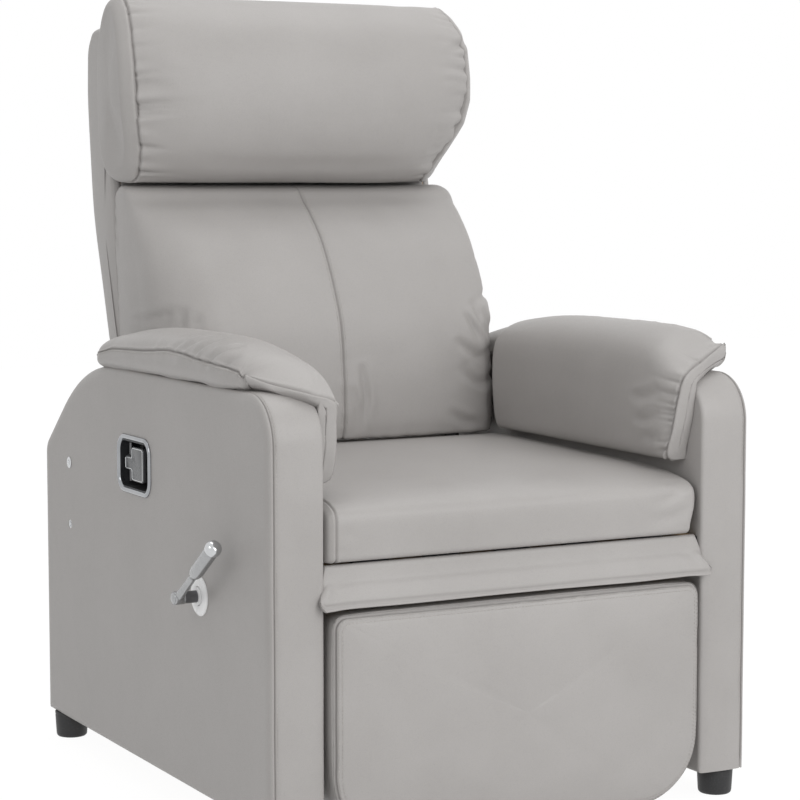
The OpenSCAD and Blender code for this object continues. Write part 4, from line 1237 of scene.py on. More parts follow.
@dataclass
class HeadrestRoll(WideCushion):
    """The fat roll for the head, gathered at both ends."""

    name: str = "headrest_roll"
    body: str = "backrest"
    node: str = "headrest_cushion"
    half: float = 294.0
    edge: float = 20.0
    seam: float = 277.0
    fill: float = 0.75
    front: float = 185.0
    bottom: float = 842.0
    depth: float = 176.0
    height: float = 270.0
    slack: float = 0.002

    SHAPE = np.array([
        [0.82, 0.04], [0.985, 0.3], [0.98, 0.68], [0.87, 0.86], [0.65, 1], [0.4, 0.985],
        [0.17, 0.86], [0.04, 0.66], [0, 0.44], [0.05, 0.215], [0.21, 0.06], [0.44, 0]])
    # Share of the height, and of the width there
    WIDE = np.array([
        [0, 0.74], [0.08, 0.82], [0.18, 0.88], [0.27, 0.93], [0.34, 0.965], [0.47, 0.995],
        [0.6, 1], [0.75, 1], [0.88, 0.98], [0.95, 0.95], [1, 0.91]])
    CREASES = (
        Crease(((-276, 214, 1030), (-252, 200, 1022), (-222, 194, 1019)), 6, 3.4),
        Crease(((-276, 206, 1000), (-250, 194, 990), (-214, 190, 986)), 6, 3.6),
        Crease(((-276, 200, 962), (-252, 190, 955), (-228, 186, 952)), 5, 3.2),
        Crease(((-274, 206, 916), (-248, 192, 912), (-214, 190, 911)), 6, 3.4),
        Crease(((-270, 222, 884), (-246, 212, 882), (-220, 210, 881)), 5, 3.0),
        Crease(((286, 260, 1062), (270, 240, 1052), (246, 222, 1046)), 6, 4.0),
        Crease(((280, 228, 1012), (258, 208, 1002), (228, 198, 998)), 6, 3.2),
        Crease(((270, 212, 960), (248, 200, 950), (218, 192, 946)), 6, 3.2),
        Crease(((266, 226, 926), (248, 208, 920), (214, 200, 918)), 7, 4.2),
        Crease(((252, 236, 896), (236, 222, 892), (208, 216, 890)), 6, 3.4),
        Crease(((-180, 210, 868), (-60, 208, 864), (60, 208, 864), (180, 210, 868)), 12, 1.3),
    )

    def section(self, x: float) -> Array:
        """Points of the section at distance x from the middle."""
        q = self.smooth_section(self.SHAPE, edge_draw(x, self.half, self.edge))
        rear = self.front + self.depth
        fall = 1 - 0.3 * abs(x / self.half) ** 4
        wide = np.interp((q[:, 1] - self.bottom) / self.height, self.WIDE[:, 0], self.WIDE[:, 1])
        narrow = 1 - (1 - wide) * (rear - q[:, 0]) / self.depth * (1.3 if x > 0 else 0.35)
        tuck = 16 * abs(x / self.half) ** 10 * (q[:, 0] - self.front) / self.depth * (x < 0)
        return np.stack([x * narrow, rear - (rear - q[:, 0]) * fall - tuck, q[:, 1]], axis=1)

    def details(self, p: Array, x: Array, run: Array) -> Array:
        """Seams, the gathers that spread from them and a few soft dents."""
        up = (p[..., 2] - self.bottom) / self.height
        front = ramp((self.front + 0.62 * self.depth - p[..., 1]) / 40.0)
        strong = 0.4 + 0.6 * ramp((0.8 - up) / 0.3)
        along, out = np.broadcast_arrays(run[None, :], (np.abs(x) - self.seam)[:, None])
        h = np.zeros(p.shape[:2])
        for s, seed in ((-self.seam, 101), (self.seam, 131)):
            h += self.groove(x, s, 2.6, 1.6)
            h += self.end_gathers(Gathers(seed, 7.6, 42.0, 21.0), x, run, s) * front * strong
            side = (np.sign(x) == np.sign(s))[:, None]
            h += Gathers(151, 1.2, 9.0, 14.0)(along, out) * side * front
        return h + Swell(17, 130.0, 2.0)(p) * front


@dataclass
class SeatCushion(WideCushion):
    """The box cushion with a rounded nose."""

    name: str = "seat_box_cushion"
    body: str = "base"
    node: str = "seat_cushion"
    half: float = 279.0
    edge: float = 12.0
    seam: float = 266.0
    fill: float = 0.8
    front: float = -401.0
    bottom: float = 370.0
    depth: float = 548.0
    height: float = 83.0
    columns: int = 160
    cap: float = 22.0
    crown: float = 3.0
    rise: float = 6.0

    CREASES = (
        Crease(((262, -392, 436), (240, -399, 424), (214, -401, 416)), 8, 2.2),
        Crease(((262, -398, 404), (236, -401, 396), (206, -401, 392)), 8, 1.8),
        Crease(((256, -380, 446), (238, -392, 440)), 7, 1.6),
        Crease(((-262, -396, 410), (-240, -400, 404)), 8, 1.2),
    )

    def angles(self) -> Array:
        """Angles that give evenly spaced points of the middle section."""
        near = np.geomspace(1e-13, 1e-3, 260)
        corners = np.concatenate([q * np.pi / 2 + np.concatenate([-near, near]) for q in range(5)])
        a = np.concatenate([np.linspace(0, 2 * np.pi, 4001), corners])
        a = np.unique(np.clip(a, 0, 2 * np.pi))
        c, s = self._powers(a)
        run = run_along(np.stack([c * self.depth / 2, s * self.height / 2], axis=1))
        return np.interp(np.linspace(0, run[-1], self.columns + 1)[:-1], run, a)

    def _powers(self, a: Array) -> tuple[Array, Array]:
        """Rounded cosine and sine of the section, each corner with its own roundness."""
        c, s = np.cos(a), np.sin(a)
        cp = np.where(c > 0, np.where(s > 0, 0.14, 0.3), np.where(s < 0, 0.06, 0.55))
        sp = np.where(s > 0, np.where(c > 0, 0.2, 0.42), np.where(c > 0, 0.26, 0.09))
        return signed_power(c, cp), signed_power(s, sp)

    def section(self, x: float) -> Array:
        """Points of the section at distance x from the middle."""
        c, s = self._powers(self.angles())
        e = float(edge_draw(x, self.half, self.edge))
        full = self.crown * (1 - (x / self.half) ** 2)
        low_share, tuck = (0.25, 9) if x > 0 else (0.05, 0)
        draw = (x / self.half) ** 6 * (1 - c * c)
        lift = np.where(s > 0, (full * (1 - c * c) + self.rise * (1 + c) / 2) * s, 0)
        y = self.front + self.depth / 2 + (self.depth / 2 - e) * c
        reach = self.height / 2 - np.where(s < 0, low_share, 0.7) * e
        z = self.bottom + self.height / 2 + reach * s + lift
        inward = draw + tuck * (x / self.half) ** 12 * ramp((self.bottom + 44 - z) / 40.0)
        return np.stack([x - np.sign(x) * inward, y, z], axis=1)

    def pins(self, rings: Array, places: Array) -> Array:
        """The underside and the rear hold the cloth too."""
        hold = super().pins(rings, places)
        hold = np.maximum(hold, 0.9 * ramp((self.bottom + 46 - rings[..., 2]) / 44.0))
        return np.where(rings[..., 1] > self.front + self.depth - 60, 0.9, hold)

    def seam_share(self, p: Array, x: Array) -> Array:
        """The left end's seam turns under before it reaches the nose."""
        nose = ramp((self.front + 70 - p[..., 1]) / 40.0)
        return 1 - nose * (x > 0)[:, None]

    def details(self, p: Array, x: Array, run: Array) -> Array:
        """Side seams and the gathers of the nose."""
        nose = ramp((self.front + 60 - p[..., 1]) / 30.0)
        h = np.zeros(p.shape[:2])
        for s, seed, deep in ((-self.seam, 201, 0.8), (self.seam, 221, 1.3)):
            h += self.groove(x, s, 1.8) * self.seam_share(p, x)
            h += self.end_gathers(Gathers(seed, deep, 26.0, 17.0), x, run, s) * nose
        return h + Swell(23, 150.0, 1.2)(p) * ramp((p[..., 2] - self.bottom - 4) / 30.0)


@dataclass
class BackShell(WideCushion):
    """The upholstered outside of the backrest, a board under thin foam."""

    name: str = "back_cover"
    body: str = "backrest"
    node: str = "back_shell"
    half: float = 272.0
    edge: float = 12.0
    seam: float = 258.0
    fill: float = 0.95
    front: float = 250.0
    bottom: float = 432.0
    depth: float = 192.0
    height: float = 644.0
    cap: float = 5.0
    hold: float = 0.5

    SHAPE = np.array([
        [0.04, 0.0], [0.24, 0.2], [0.344, 0.387], [0.443, 0.635], [0.60, 0.758], [0.60, 0.90], [0.52, 0.975],
        [0.635, 1.0], [0.87, 0.995], [0.985, 0.95], [1, 0.83], [0.891, 0.547], [0.594, 0.266], [0.26, 0.0]])

    def section(self, x: float) -> Array:
        """Points of the section at distance x from the middle."""
        corners = np.array([self.front, self.bottom]) + self.SHAPE * np.array([self.depth, self.height])
        steps = np.linspace(0, 1, 9)[:-1, None]
        fine = np.concatenate([a + (b - a) * steps for a, b in zip(corners, np.roll(corners, -1, axis=0))])
        for _ in range(3):
            fine = 0.5 * fine + 0.25 * (np.roll(fine, 1, axis=0) + np.roll(fine, -1, axis=0))
        q = spline(fine, even_places(fine, self.columns, fine=3), loop=True)
        along = np.roll(q, -1, axis=0) - np.roll(q, 1, axis=0)
        normal = unit(np.stack([-along[:, 1], along[:, 0]], axis=1))
        inward = np.sign(((q.mean(axis=0) - q) * normal).sum()) * normal
        q = q + inward * (float(edge_draw(x, self.half, self.edge)) * 0.75 + 0.5)
        return np.stack([np.full(len(q), x), q[:, 0], q[:, 1]], axis=1)

    def details(self, p: Array, x: Array, run: Array) -> Array:
        """Side seams and a soft middle."""
        h = np.zeros(p.shape[:2])
        for s in (-self.seam, self.seam):
            h += self.groove(x, s, 1.6)
            h += self.end_gathers(Gathers(301, 0.7, 22.0, 24.0), x, run, s)
        return h + Swell(29, 160.0, 1.4)(p)

    def pins(self, rings: Array, places: Array) -> Array:
        """The board holds the cloth all over."""
        return np.maximum(super().pins(rings, places), self.hold)


# Arm pads


@dataclass
class ArmPad:
    """A thick pad draped over a side panel's top and down its inner face."""

    side: Side
    front: float = -387.0
    length: float = 640.0
    seat_z: float = 583.3
    height: float = 63.0
    drop: float = 116.0
    inner_t: float = 37.0
    inner_x: float = 283.7
    over: float = 11.0

    # Numbers of the points of a section: the outer seam, the first hidden one and all
    SEAM_COL = 12
    SHOWN = 78
    COUNT = 102
    SHOWN_CORNERS = 15
    TOP = ((0.13, 0), (0.03, 0.12), (0, 0.35), (0.05, 0.68), (0.18, 0.9), (0.38, 1), (0.6, 0.96), (0.8, 0.78),
           (0.94, 0.48), (1, 0.05))
    INNER = ((-0.05, 0.35), (0, 0.7), (0.12, 0.93), (0.45, 1), (1, 0.95), (1, 0.5), (1, 0))
    HIDDEN = ((14, 15, 6), (15, 16, 6), (16, 17, 6), (17, 0, 7))
    NOSE = 0.12
    NOSE_STEPS = np.array([0, 0.035, 0.09, 0.17, 0.27, 0.38, 0.5, 0.62, 0.75, 0.88])
    LOW_FRONT = ((254, -375, 510), (253, -364, 480), (262, -359, 468), (283.7, -362, 469))
    FRONTS = {
        Side.RIGHT: ((353, -322, 604.5), (334, -352, 594), (296, -385, 582.5), (262, -388, 571),
                     (257, -382, 545)),
        Side.LEFT: ((371, -329, 621.5), (342, -351, 614), (302, -377, 601.5), (265, -388, 582),
                    (257, -383, 550)),
    }
    FRONT_SHARE = (0, 0.2, 0.38, 0.48, 0.6, 0.76, 0.9, 0.95, 1)
    UNDER_SHARE = (0, 0.2, 0.44, 0.72, 1)
    TIPS = {
        Side.RIGHT: ((338, -316, 584), (348, -320, 587.5), (352, -322, 595)),
        Side.LEFT: ((356, -322, 584), (368, -326, 590), (372, -329, 605)),
    }
    UNDER = ((325, -353, 582.5), (283.7, -388, 573), (283.7, -380, 525))
    # The long outer seam as y and z
    SEAM = np.array([
        (-400, 582), (-374, 584), (-358, 591), (-340, 600), (-322, 604.5), (-310, 607.5), (-290, 610.8),
        (-265, 613.5), (-240, 615.1), (-200, 617), (-159, 620), (-105, 622), (-24, 616), (94, 611),
        (160, 600), (260, 570)])
    # Single folds near the front of the left pad, which the right pad mirrors
    CREASES = (
        Crease(((372, -190, 622), (360, -205, 636), (340, -222, 646)), 6, 4.2),
        Crease(((372, -150, 624), (358, -168, 640), (334, -190, 648)), 6, 4.4),
        Crease(((372, -120, 624), (360, -136, 640), (342, -150, 648)), 6, 3.0),
        Crease(((372, -240, 616), (360, -256, 630), (338, -272, 638)), 6, 3.6),
        Crease(((368, -276, 614), (352, -292, 622)), 6, 2.8),
        Crease(((248, -344, 560), (247, -318, 552), (247, -292, 548)), 7, 3.2),
        Crease(((248, -344, 530), (247, -318, 520), (247, -298, 517)), 7, 3.4),
        Crease(((249, -342, 500), (247, -320, 491)), 7, 2.8),
    )

    def crown(self, v: float) -> float:
        """Share of the pad's full height at share v of its length."""
        if v < 0.3:
            return 0.12 + 0.88 * (1 - (1 - v / 0.3) ** (2.3 if self.side is Side.RIGHT else 4.2))
        return 1.0 if v < 0.42 else 1 - 0.9 * ((v - 0.42) / 0.58) ** 2.6

    def hang(self, v: float) -> float:
        """Share of the inner drop at share v of its length."""
        return max(0.05, 1 - float(ramp((v - 0.748) / 0.045)))

    def outer(self, v: float) -> float:
        """Distance of the outer edge from the chair's middle."""
        drawn = max(0.0, 0.23 - max(v, self.NOSE)) / 0.11 if self.side is Side.RIGHT else 0.0
        return X_OUT + self.over - 12 * drawn**2 - 50 * float(ramp((v - 0.82) / 0.18))

    def inner(self, v: float) -> float:
        """Distance of the inner face from the chair's middle."""
        return self.inner_x - self.inner_t * (1 - 0.78 * float(ramp((v - 0.748) / 0.05)))

    def fall(self, v: float) -> float:
        """How far the panel's top has fallen."""
        y = self.front + v * self.length - TOP_BEND[0]
        return 0.0 if y < 0 else 0.98 * (TOP_BEND_R - math.sqrt(TOP_BEND_R**2 - y * y))

    def corners(self, v: float) -> Array:
        """The named corners of the section, as x and z."""
        xo, xi = self.outer(v), self.inner(v)
        w, z = xo - xi, self.seat_z - self.fall(v)
        h, d = self.height * self.crown(v) + self.fall(v), self.drop * self.hang(v)
        top = [(xo - q[0] * w, z + q[1] * h) for q in self.TOP]
        drop = [(xi + q[0] * (self.inner_x - xi), z - q[1] * d) for q in self.INNER]
        return np.array(top + drop + [((self.inner_x + xo - 0.13 * w) / 2, z)])

    def seam_height(self, y: float) -> float:
        """Height of the long outer seam at y."""
        lift = 0.0 if self.side is Side.RIGHT else 17 * (1 - float(ramp((y + 329) / 180.0)))
        return float(np.interp(y, self.SEAM[:, 0], self.SEAM[:, 1])) + lift

    def ring(self, v: float) -> Array:
        """Evenly numbered points of the section, with the outer seam always at the same number."""
        c = self.corners(v)
        y = self.front + v * self.length
        shown = c[:self.SHOWN_CORNERS]
        t = np.linspace(0, 3.9, 200)
        goal = min(self.seam_height(y), c[0][1] + 0.8 * (c[5][1] - c[0][1]))
        seam = max(float(np.interp(goal, spline(shown, t)[:, 1], t)), 0.35)
        below = np.linspace(0, 1, self.SEAM_COL + 1)[:-1] * seam
        fine = np.linspace(0, self.SHOWN_CORNERS - 1, 600)
        run = run_along(spline(shown, fine))
        even = np.linspace(np.interp(seam, fine, run), run[-1], self.SHOWN - self.SEAM_COL)
        parts = [spline(shown, np.concatenate([below, np.interp(even, run, fine)]))]
        for k, (a, b, n) in enumerate(self.HIDDEN):
            steps = np.linspace(0, 1, n + 1)[0 if k else 1:-1, None]
            parts.append(c[a] + (c[b] - c[a]) * steps)
        q = np.concatenate(parts)
        return np.stack([self.side.value * q[:, 0], np.full(len(q), y), q[:, 1]], axis=1)

    def front_rings(self, ring: Array) -> list[Array]:
        """The ring along the front seam, and those that close the front inside it.

        Args:
            ring: the first full ring, which gives the numbering.

        Returns:
            The rings, the outermost first.
        """
        sx, seam, last = self.side.value, self.SEAM_COL, self.SHOWN - 1
        x, z = sx * ring[:self.SHOWN, 0], ring[:self.SHOWN, 2]
        start = seam + 2
        corner = start + int(np.argmin(np.hypot(x[start:] - 252, z[start:] - (self.seat_z + 10))))
        low = start + int(np.argmin(np.hypot(x[start:] - 248, z[start:] - (self.seat_z - 112))))
        places = [seam, seam + (corner - seam) * 0.35, seam + (corner - seam) * 0.72, corner,
                  corner + (low - corner) * 0.3, corner + (low - corner) * 0.7, low, (low + last) / 2, last]
        path = np.array(self.FRONTS[self.side] + self.LOW_FRONT)
        cols = np.arange(seam, self.SHOWN)
        seen = spline(path, np.interp(cols, places, np.arange(len(places))))
        tip = self.TIPS[self.side]
        side = spline(np.array([*tip, path[0]]), np.linspace(0, 3, seam + 1)[:-1])
        hidden = [path[-1]]
        for stop, (*_, n) in zip((*self.UNDER[::-1], tip[0]), self.HIDDEN):
            a = hidden[-1]
            hidden += [a + (np.array(stop) - a) * t for t in np.linspace(0, 1, n + 1)[1:]]
        q = np.concatenate([side, seen, np.array(hidden[1:-1])])
        stops = [last, last + 6, last + 12, last + 18, self.COUNT]
        share = np.concatenate([
            np.zeros(seam), np.interp(cols, places, self.FRONT_SHARE),
            np.interp(np.arange(self.SHOWN, self.COUNT), stops, self.UNDER_SHARE[::-1])])
        under = np.array([tip[0], *self.UNDER, path[-1]])
        middle = 0.5 * np.stack([
            np.interp(share, self.FRONT_SHARE, path[:, k]) + np.interp(share, self.UNDER_SHARE, under[:, k])
            for k in range(3)], axis=1)
        full = (2.0 + 7.0 * ramp(1 - share / 0.5))[:, None] * np.array([0.66, -0.72, -0.2])
        return [(q + (middle - q) * f + full * math.sin(f * math.pi / 2)) * np.array([sx, 1, 1])
                for f in (0.0, 0.3, 0.65, 1.0)]

    def form(self) -> tuple[Loft, Array]:
        """The plain form and the length share of each ring."""
        v = np.concatenate([np.linspace(self.NOSE, 0.7, 41), np.linspace(0.715, 0.81, 10),
                            np.linspace(0.825, 1, 12)])
        rings = [self.ring(s) for s in v]
        first, *closing = self.front_rings(rings[0])
        nose = []
        for t in self.NOSE_STEPS:
            w = 1 - (1 - t) ** 2.4
            ring = self.ring(self.NOSE * (0.4 + 0.6 * t)) * w + first * (1 - w)
            ring[:, 1] = first[:, 1] + (rings[0][:, 1] - first[:, 1]) * t
            nose.append(ring)
        rear = self.seat_z - self.fall(1.0) + self.height * self.crown(1.0) * 0.2
        half = (self.inner(1.0) + self.inner_x) / 2
        mid = np.array([self.side.value * half, self.front + self.length, rear])
        ends = [mid + (rings[-1] - mid) * f + np.array([0, 3 * (1 - f * f), 0]) for f in (0.88, 0.62, 0.3)]
        rows = np.array(closing[::-1] + nose + rings + ends)
        step = np.array([0.003, 0.006, 0.009])
        share = np.concatenate([-step[::-1], self.NOSE * self.NOSE_STEPS, v, 1 + step])
        return Loft(rows, np.array([rows[0][45], rows[-1].mean(axis=0)])), share

    def hold(self, share: Array) -> Array:
        """How firmly the cloth is held at each ring point."""
        hold = np.full((len(share), self.COUNT), 0.12)
        hold[:, self.SHOWN:] = 1.0
        hold[:, [0, self.SEAM_COL]] = 1.0
        hold[(share < 0.002) | (share > 0.97)] = 1.0
        return hold

    def details(self, p: Array, v: Array, col: Array, gap: Array) -> tuple[Array, Array]:
        """Heights that are added along the normals, and how much of a seam each point is.

        Args:
            p: ring points of the final form, whose low outer edge is made to wave.
            v: length share of each ring.
            col: column number of each point.
            gap: distance from the outer seam.

        Returns:
            Heights and seam marks, one each per ring point.
        """
        y = self.front + v * self.length
        seed = 400 if self.side is Side.RIGHT else 450
        shown, above = col < self.SHOWN, (col > self.SEAM_COL - 0.5) & (col < self.SHOWN)
        run, along, v_all = np.broadcast_arrays(run_along(p[len(v) // 3]), y[:, None], v[:, None])
        h = seam_groove(gap, 2.4, 1.4, 1.0, 3.2, 1.8)
        h = h * shown * ramp((240 - y) / 60.0)[:, None] * ramp((v + 0.002) / 0.006)[:, None]
        h += Gathers(seed, 5.0, 36.0, 22.0)(along, gap) * ramp((60 - y) / 120.0)[:, None] * (gap > -1)
        h += Gathers(seed + 9, 1.6, 22.0, 30.0)(along, -gap) * (gap < 0) * shown * 0.8
        front = (v_all - 0.0035) * self.length
        h += seam_groove(front, 2.2, 1.5, 0.9, 3.6, 1.8) * above
        below = ramp((640 - p[..., 2]) / 60.0) * (col > 34) * shown
        h += Gathers(seed + 21, 5.4, 30.0, 18.0)(run, front) * below
        wave = Ripple(seed + 33, 46.0)(y)[:, None]
        p[..., 2] += bell(np.minimum(col, 100), 2.2) * wave * 2.6 * (col < 8)
        mirrored = p * np.array([self.side.value, 1, 1])
        for crease in self.CREASES:
            h += crease(mirrored)
        h += Swell(seed + 41, 90.0, 1.8)(p) * shown
        mark = np.maximum(bell(gap, 1.3) * shown, bell(front, 1.3) * above * (v_all >= 0))
        return h, mark

    def make(self, wardrobe: Wardrobe) -> bpy.types.Object:
        """Build the pad.

        Args:
            wardrobe: the finishes.

        Returns:
            The piece.
        """
        coarse, share = self.form()
        swollen = coarse.inflated(self.hold(share), 22.0)
        rows = np.arange(0, len(share) - 0.99, 0.5)
        seam_cols = self.SEAM_COL + np.array([-0.8, -0.25, 0.25, 0.8])
        cols = np.sort(np.concatenate([np.arange(0, self.COUNT - 0.01, 0.5), seam_cols]))
        loft = swollen.read(rows, cols)
        v = np.interp(rows, np.arange(len(share)), share)
        y = self.front + v * self.length
        p = loft.rings
        col = cols[None, :] * np.ones(p.shape[:2])
        step = np.linalg.norm(np.diff(coarse.rings[len(share) // 2], axis=0), axis=1).mean()
        gap = (col - self.SEAM_COL) * step
        h, mark = self.details(p, v, col, gap)
        loft.rings = p + loft.normals() * h[..., None]
        word = self.side.name.lower()
        obj = cover(f"arm_pad_cover_{word}", "base", f"arm_pad_{word}", loft, mark, 0.75, wardrobe)
        stitching = Stitching()
        off = int(np.argmin(np.abs(gap[0] + 4.5)))
        keep = (y > -380) & (y < 200)
        stitching.line(loft.rings[keep, off], loft.normals()[keep, off])
        stitching.finish(obj.name + "_stitches", "base", wardrobe)
        return obj


# Side panels


@dataclass
class SidePanel:
    """The leather cover of one side panel: outer face, band and inner lining."""

    side: Side
    round_r: float = 5.5
    seam_in: float = 7.2
    front_r: float = 63.0
    rear_r: float = 28.0
    slope: float = 39.0
    # Points along the front, top, slope, rear and foot
    COUNTS = (60, 56, 10, 50, 70)

    def outline(self, i: float) -> Array:
        """Outline of the panel drawn in by i, as y and z, the same number of points for any i."""
        a = math.radians(self.slope)
        normal = np.array([math.sin(a), math.cos(a)])
        level = float(np.array(TOP_BEND) @ normal) + TOP_BEND_R - self.rear_r
        corner_y = PANEL_Y - self.rear_r
        corner = (corner_y, (level - corner_y * normal[0]) / normal[1])
        front = arc((-PANEL_Y + self.front_r, PANEL_TOP - self.front_r), self.front_r - i, 180, 90, 16)
        top = arc(TOP_BEND, TOP_BEND_R - i, 90, 90 - self.slope, 26)
        rear = arc(corner, self.rear_r - i, 90 - self.slope, 0, 10)
        low_front = np.array([-PANEL_Y + i, FOOT_H + i])
        low_rear = np.array([PANEL_Y - i, FOOT_H + i])
        stops = ((low_front, front[0]), (front[-1], top[0]), (top[-1], rear[0]), (rear[-1], low_rear),
                 (low_rear, low_front))
        gaps = [between(p, q, n) for (p, q), n in zip(stops, self.COUNTS)]
        return np.concatenate([
            low_front[None], gaps[0], front, gaps[1], top, gaps[2], rear, gaps[3], low_rear[None], gaps[4]])

    def profile(self) -> list[tuple[float, float, float]]:
        """Steps across the panel: inset, depth from the outer face, and how much of a seam it is."""
        r, s = self.round_r, self.seam_in
        turn = np.radians([0, 18, 36, 54, 70, 82])
        steps = [(17.0, 0.0, 0.0)]
        steps += [(14.0 * (1 - math.sin(a)), r * (1 - math.cos(a)), 0.0) for a in turn]
        steps += [(0.0, s - 1.5, 0.1), (0.6, s - 0.8, 0.5), (1.7, s, 1.0), (0.6, s + 0.9, 0.5),
                  (-0.2, s + 2.0, 0.1)]
        steps += [(-0.9, s + 8, 0), (-1.6, 28, 0), (-1.8, 38, 0), (-1.6, 48, 0), (-1.0, 62, 0), (-0.5, 69, 0)]
        steps += [(5.0 * (1 - math.cos(a)), 71.0 + 5.0 * math.sin(a), 0.0)
                  for a in np.radians([0, 25, 50, 75, 90])]
        return steps + [(9.0, 76.0, 0.0), (17.0, 76.0, 0.0)]

    def holes(self) -> list[Array]:
        """Openings of the outer face of the right panel, as y and z."""
        if self.side is Side.LEFT:
            return []
        ring = arc((0, 0), 1, 0, 360, 25)[:-1]
        cup = np.array(CUP_PLACE) + round_corner_loop(107, 68, 17)
        lever = np.array(LEVER_PLACE) + ring * 12.6
        return [cup, lever] + [np.array([INSERT_Y, z]) + ring * 6.5 for z in INSERT_HEIGHTS]

    def wall(self) -> tuple[Array, Array]:
        """Rings from the outer face over the band to the lining, and how much of a seam each point is."""
        sx = self.side.value
        wave = Ripple(500 + sx, 70.0)
        rings, marks = [], []
        for inset, depth, mark in self.profile():
            q = self.outline(inset)
            high = q[:, 1] >= FOOT_H + 14
            soft = 0.35 * wave(np.arange(len(q)) * 9.0) * (inset < 2)
            y = q[:, 0] + soft * np.sign(q[:, 0]) * high
            z = np.maximum(q[:, 1], FOOT_H + 0.2)
            rings.append(np.stack([np.full(len(q), sx * (X_OUT - depth)), y, z], axis=1))
            marks.append(mark * high)
        return np.array(rings), np.concatenate(marks)

    def face(self, loops: list[Array], x: float, flip: bool) -> tuple[Array, list]:
        """A flat face at x, bounded by loops of y and z.

        Args:
            loops: the outline and then the holes.
            x: place of the face.
            flip: whether the face looks towards -X.

        Returns:
            Corners and faces.
        """
        flat = np.concatenate(loops)
        made = []
        for t in tessellate_polygon([[Vector((*p, 0)) for p in loop] for loop in loops]):
            a, b, c = (flat[i] for i in t)
            turn = (b[0] - a[0]) * (c[1] - a[1]) - (b[1] - a[1]) * (c[0] - a[0])
            made.append(tuple(t) if (turn > 0) != flip else tuple(t)[::-1])
        return np.concatenate([np.full((len(flat), 1), x), flat], axis=1), made

    def make(self, wardrobe: Wardrobe) -> bpy.types.Object:
        """Build the cover and its stitches.

        Args:
            wardrobe: the finishes.

        Returns:
            The piece.
        """
        sx, word = self.side.value, self.side.name.lower()
        rings, mark = self.wall()
        count = rings.shape[1]
        band = ring_faces(count, [(i, i + 1) for i in range(len(rings) - 1)])
        outer = self.face([rings[0][:, 1:]] + self.holes(), sx * X_OUT, sx < 0)
        inner = self.face([rings[-1][:, 1:]], sx * X_IN, sx > 0)
        points, faces = join_parts([
            (rings.reshape(-1, 3), band if sx > 0 else [f[::-1] for f in band]), outer, inner])
        marks = {"seam": np.concatenate([mark, np.zeros(len(outer[0]) + len(inner[0]))])}
        obj = make_object(f"panel_cover_{word}", points, faces, marks)
        dress(obj, "base", wardrobe.leather,
              (f"side_face_{word}", f"side_band_{word}", f"side_lining_{word}"))
        obj.data.set_sharp_from_angle(angle=math.radians(40))
        stitching = Stitching()
        sewn = slice(2, count - self.COUNTS[-1] - 2)
        around, drawn = self.outline(-0.3)[sewn], self.outline(2.0)[sewn]
        x = np.full((len(around), 1), sx * (X_OUT - self.seam_in - 3.2))
        stitching.line(np.hstack([x, around]), np.hstack([0 * x, around - drawn]), 0.1)
        stitching.finish(obj.name + "_stitches", "base", wardrobe)
        return obj


# Leg rest


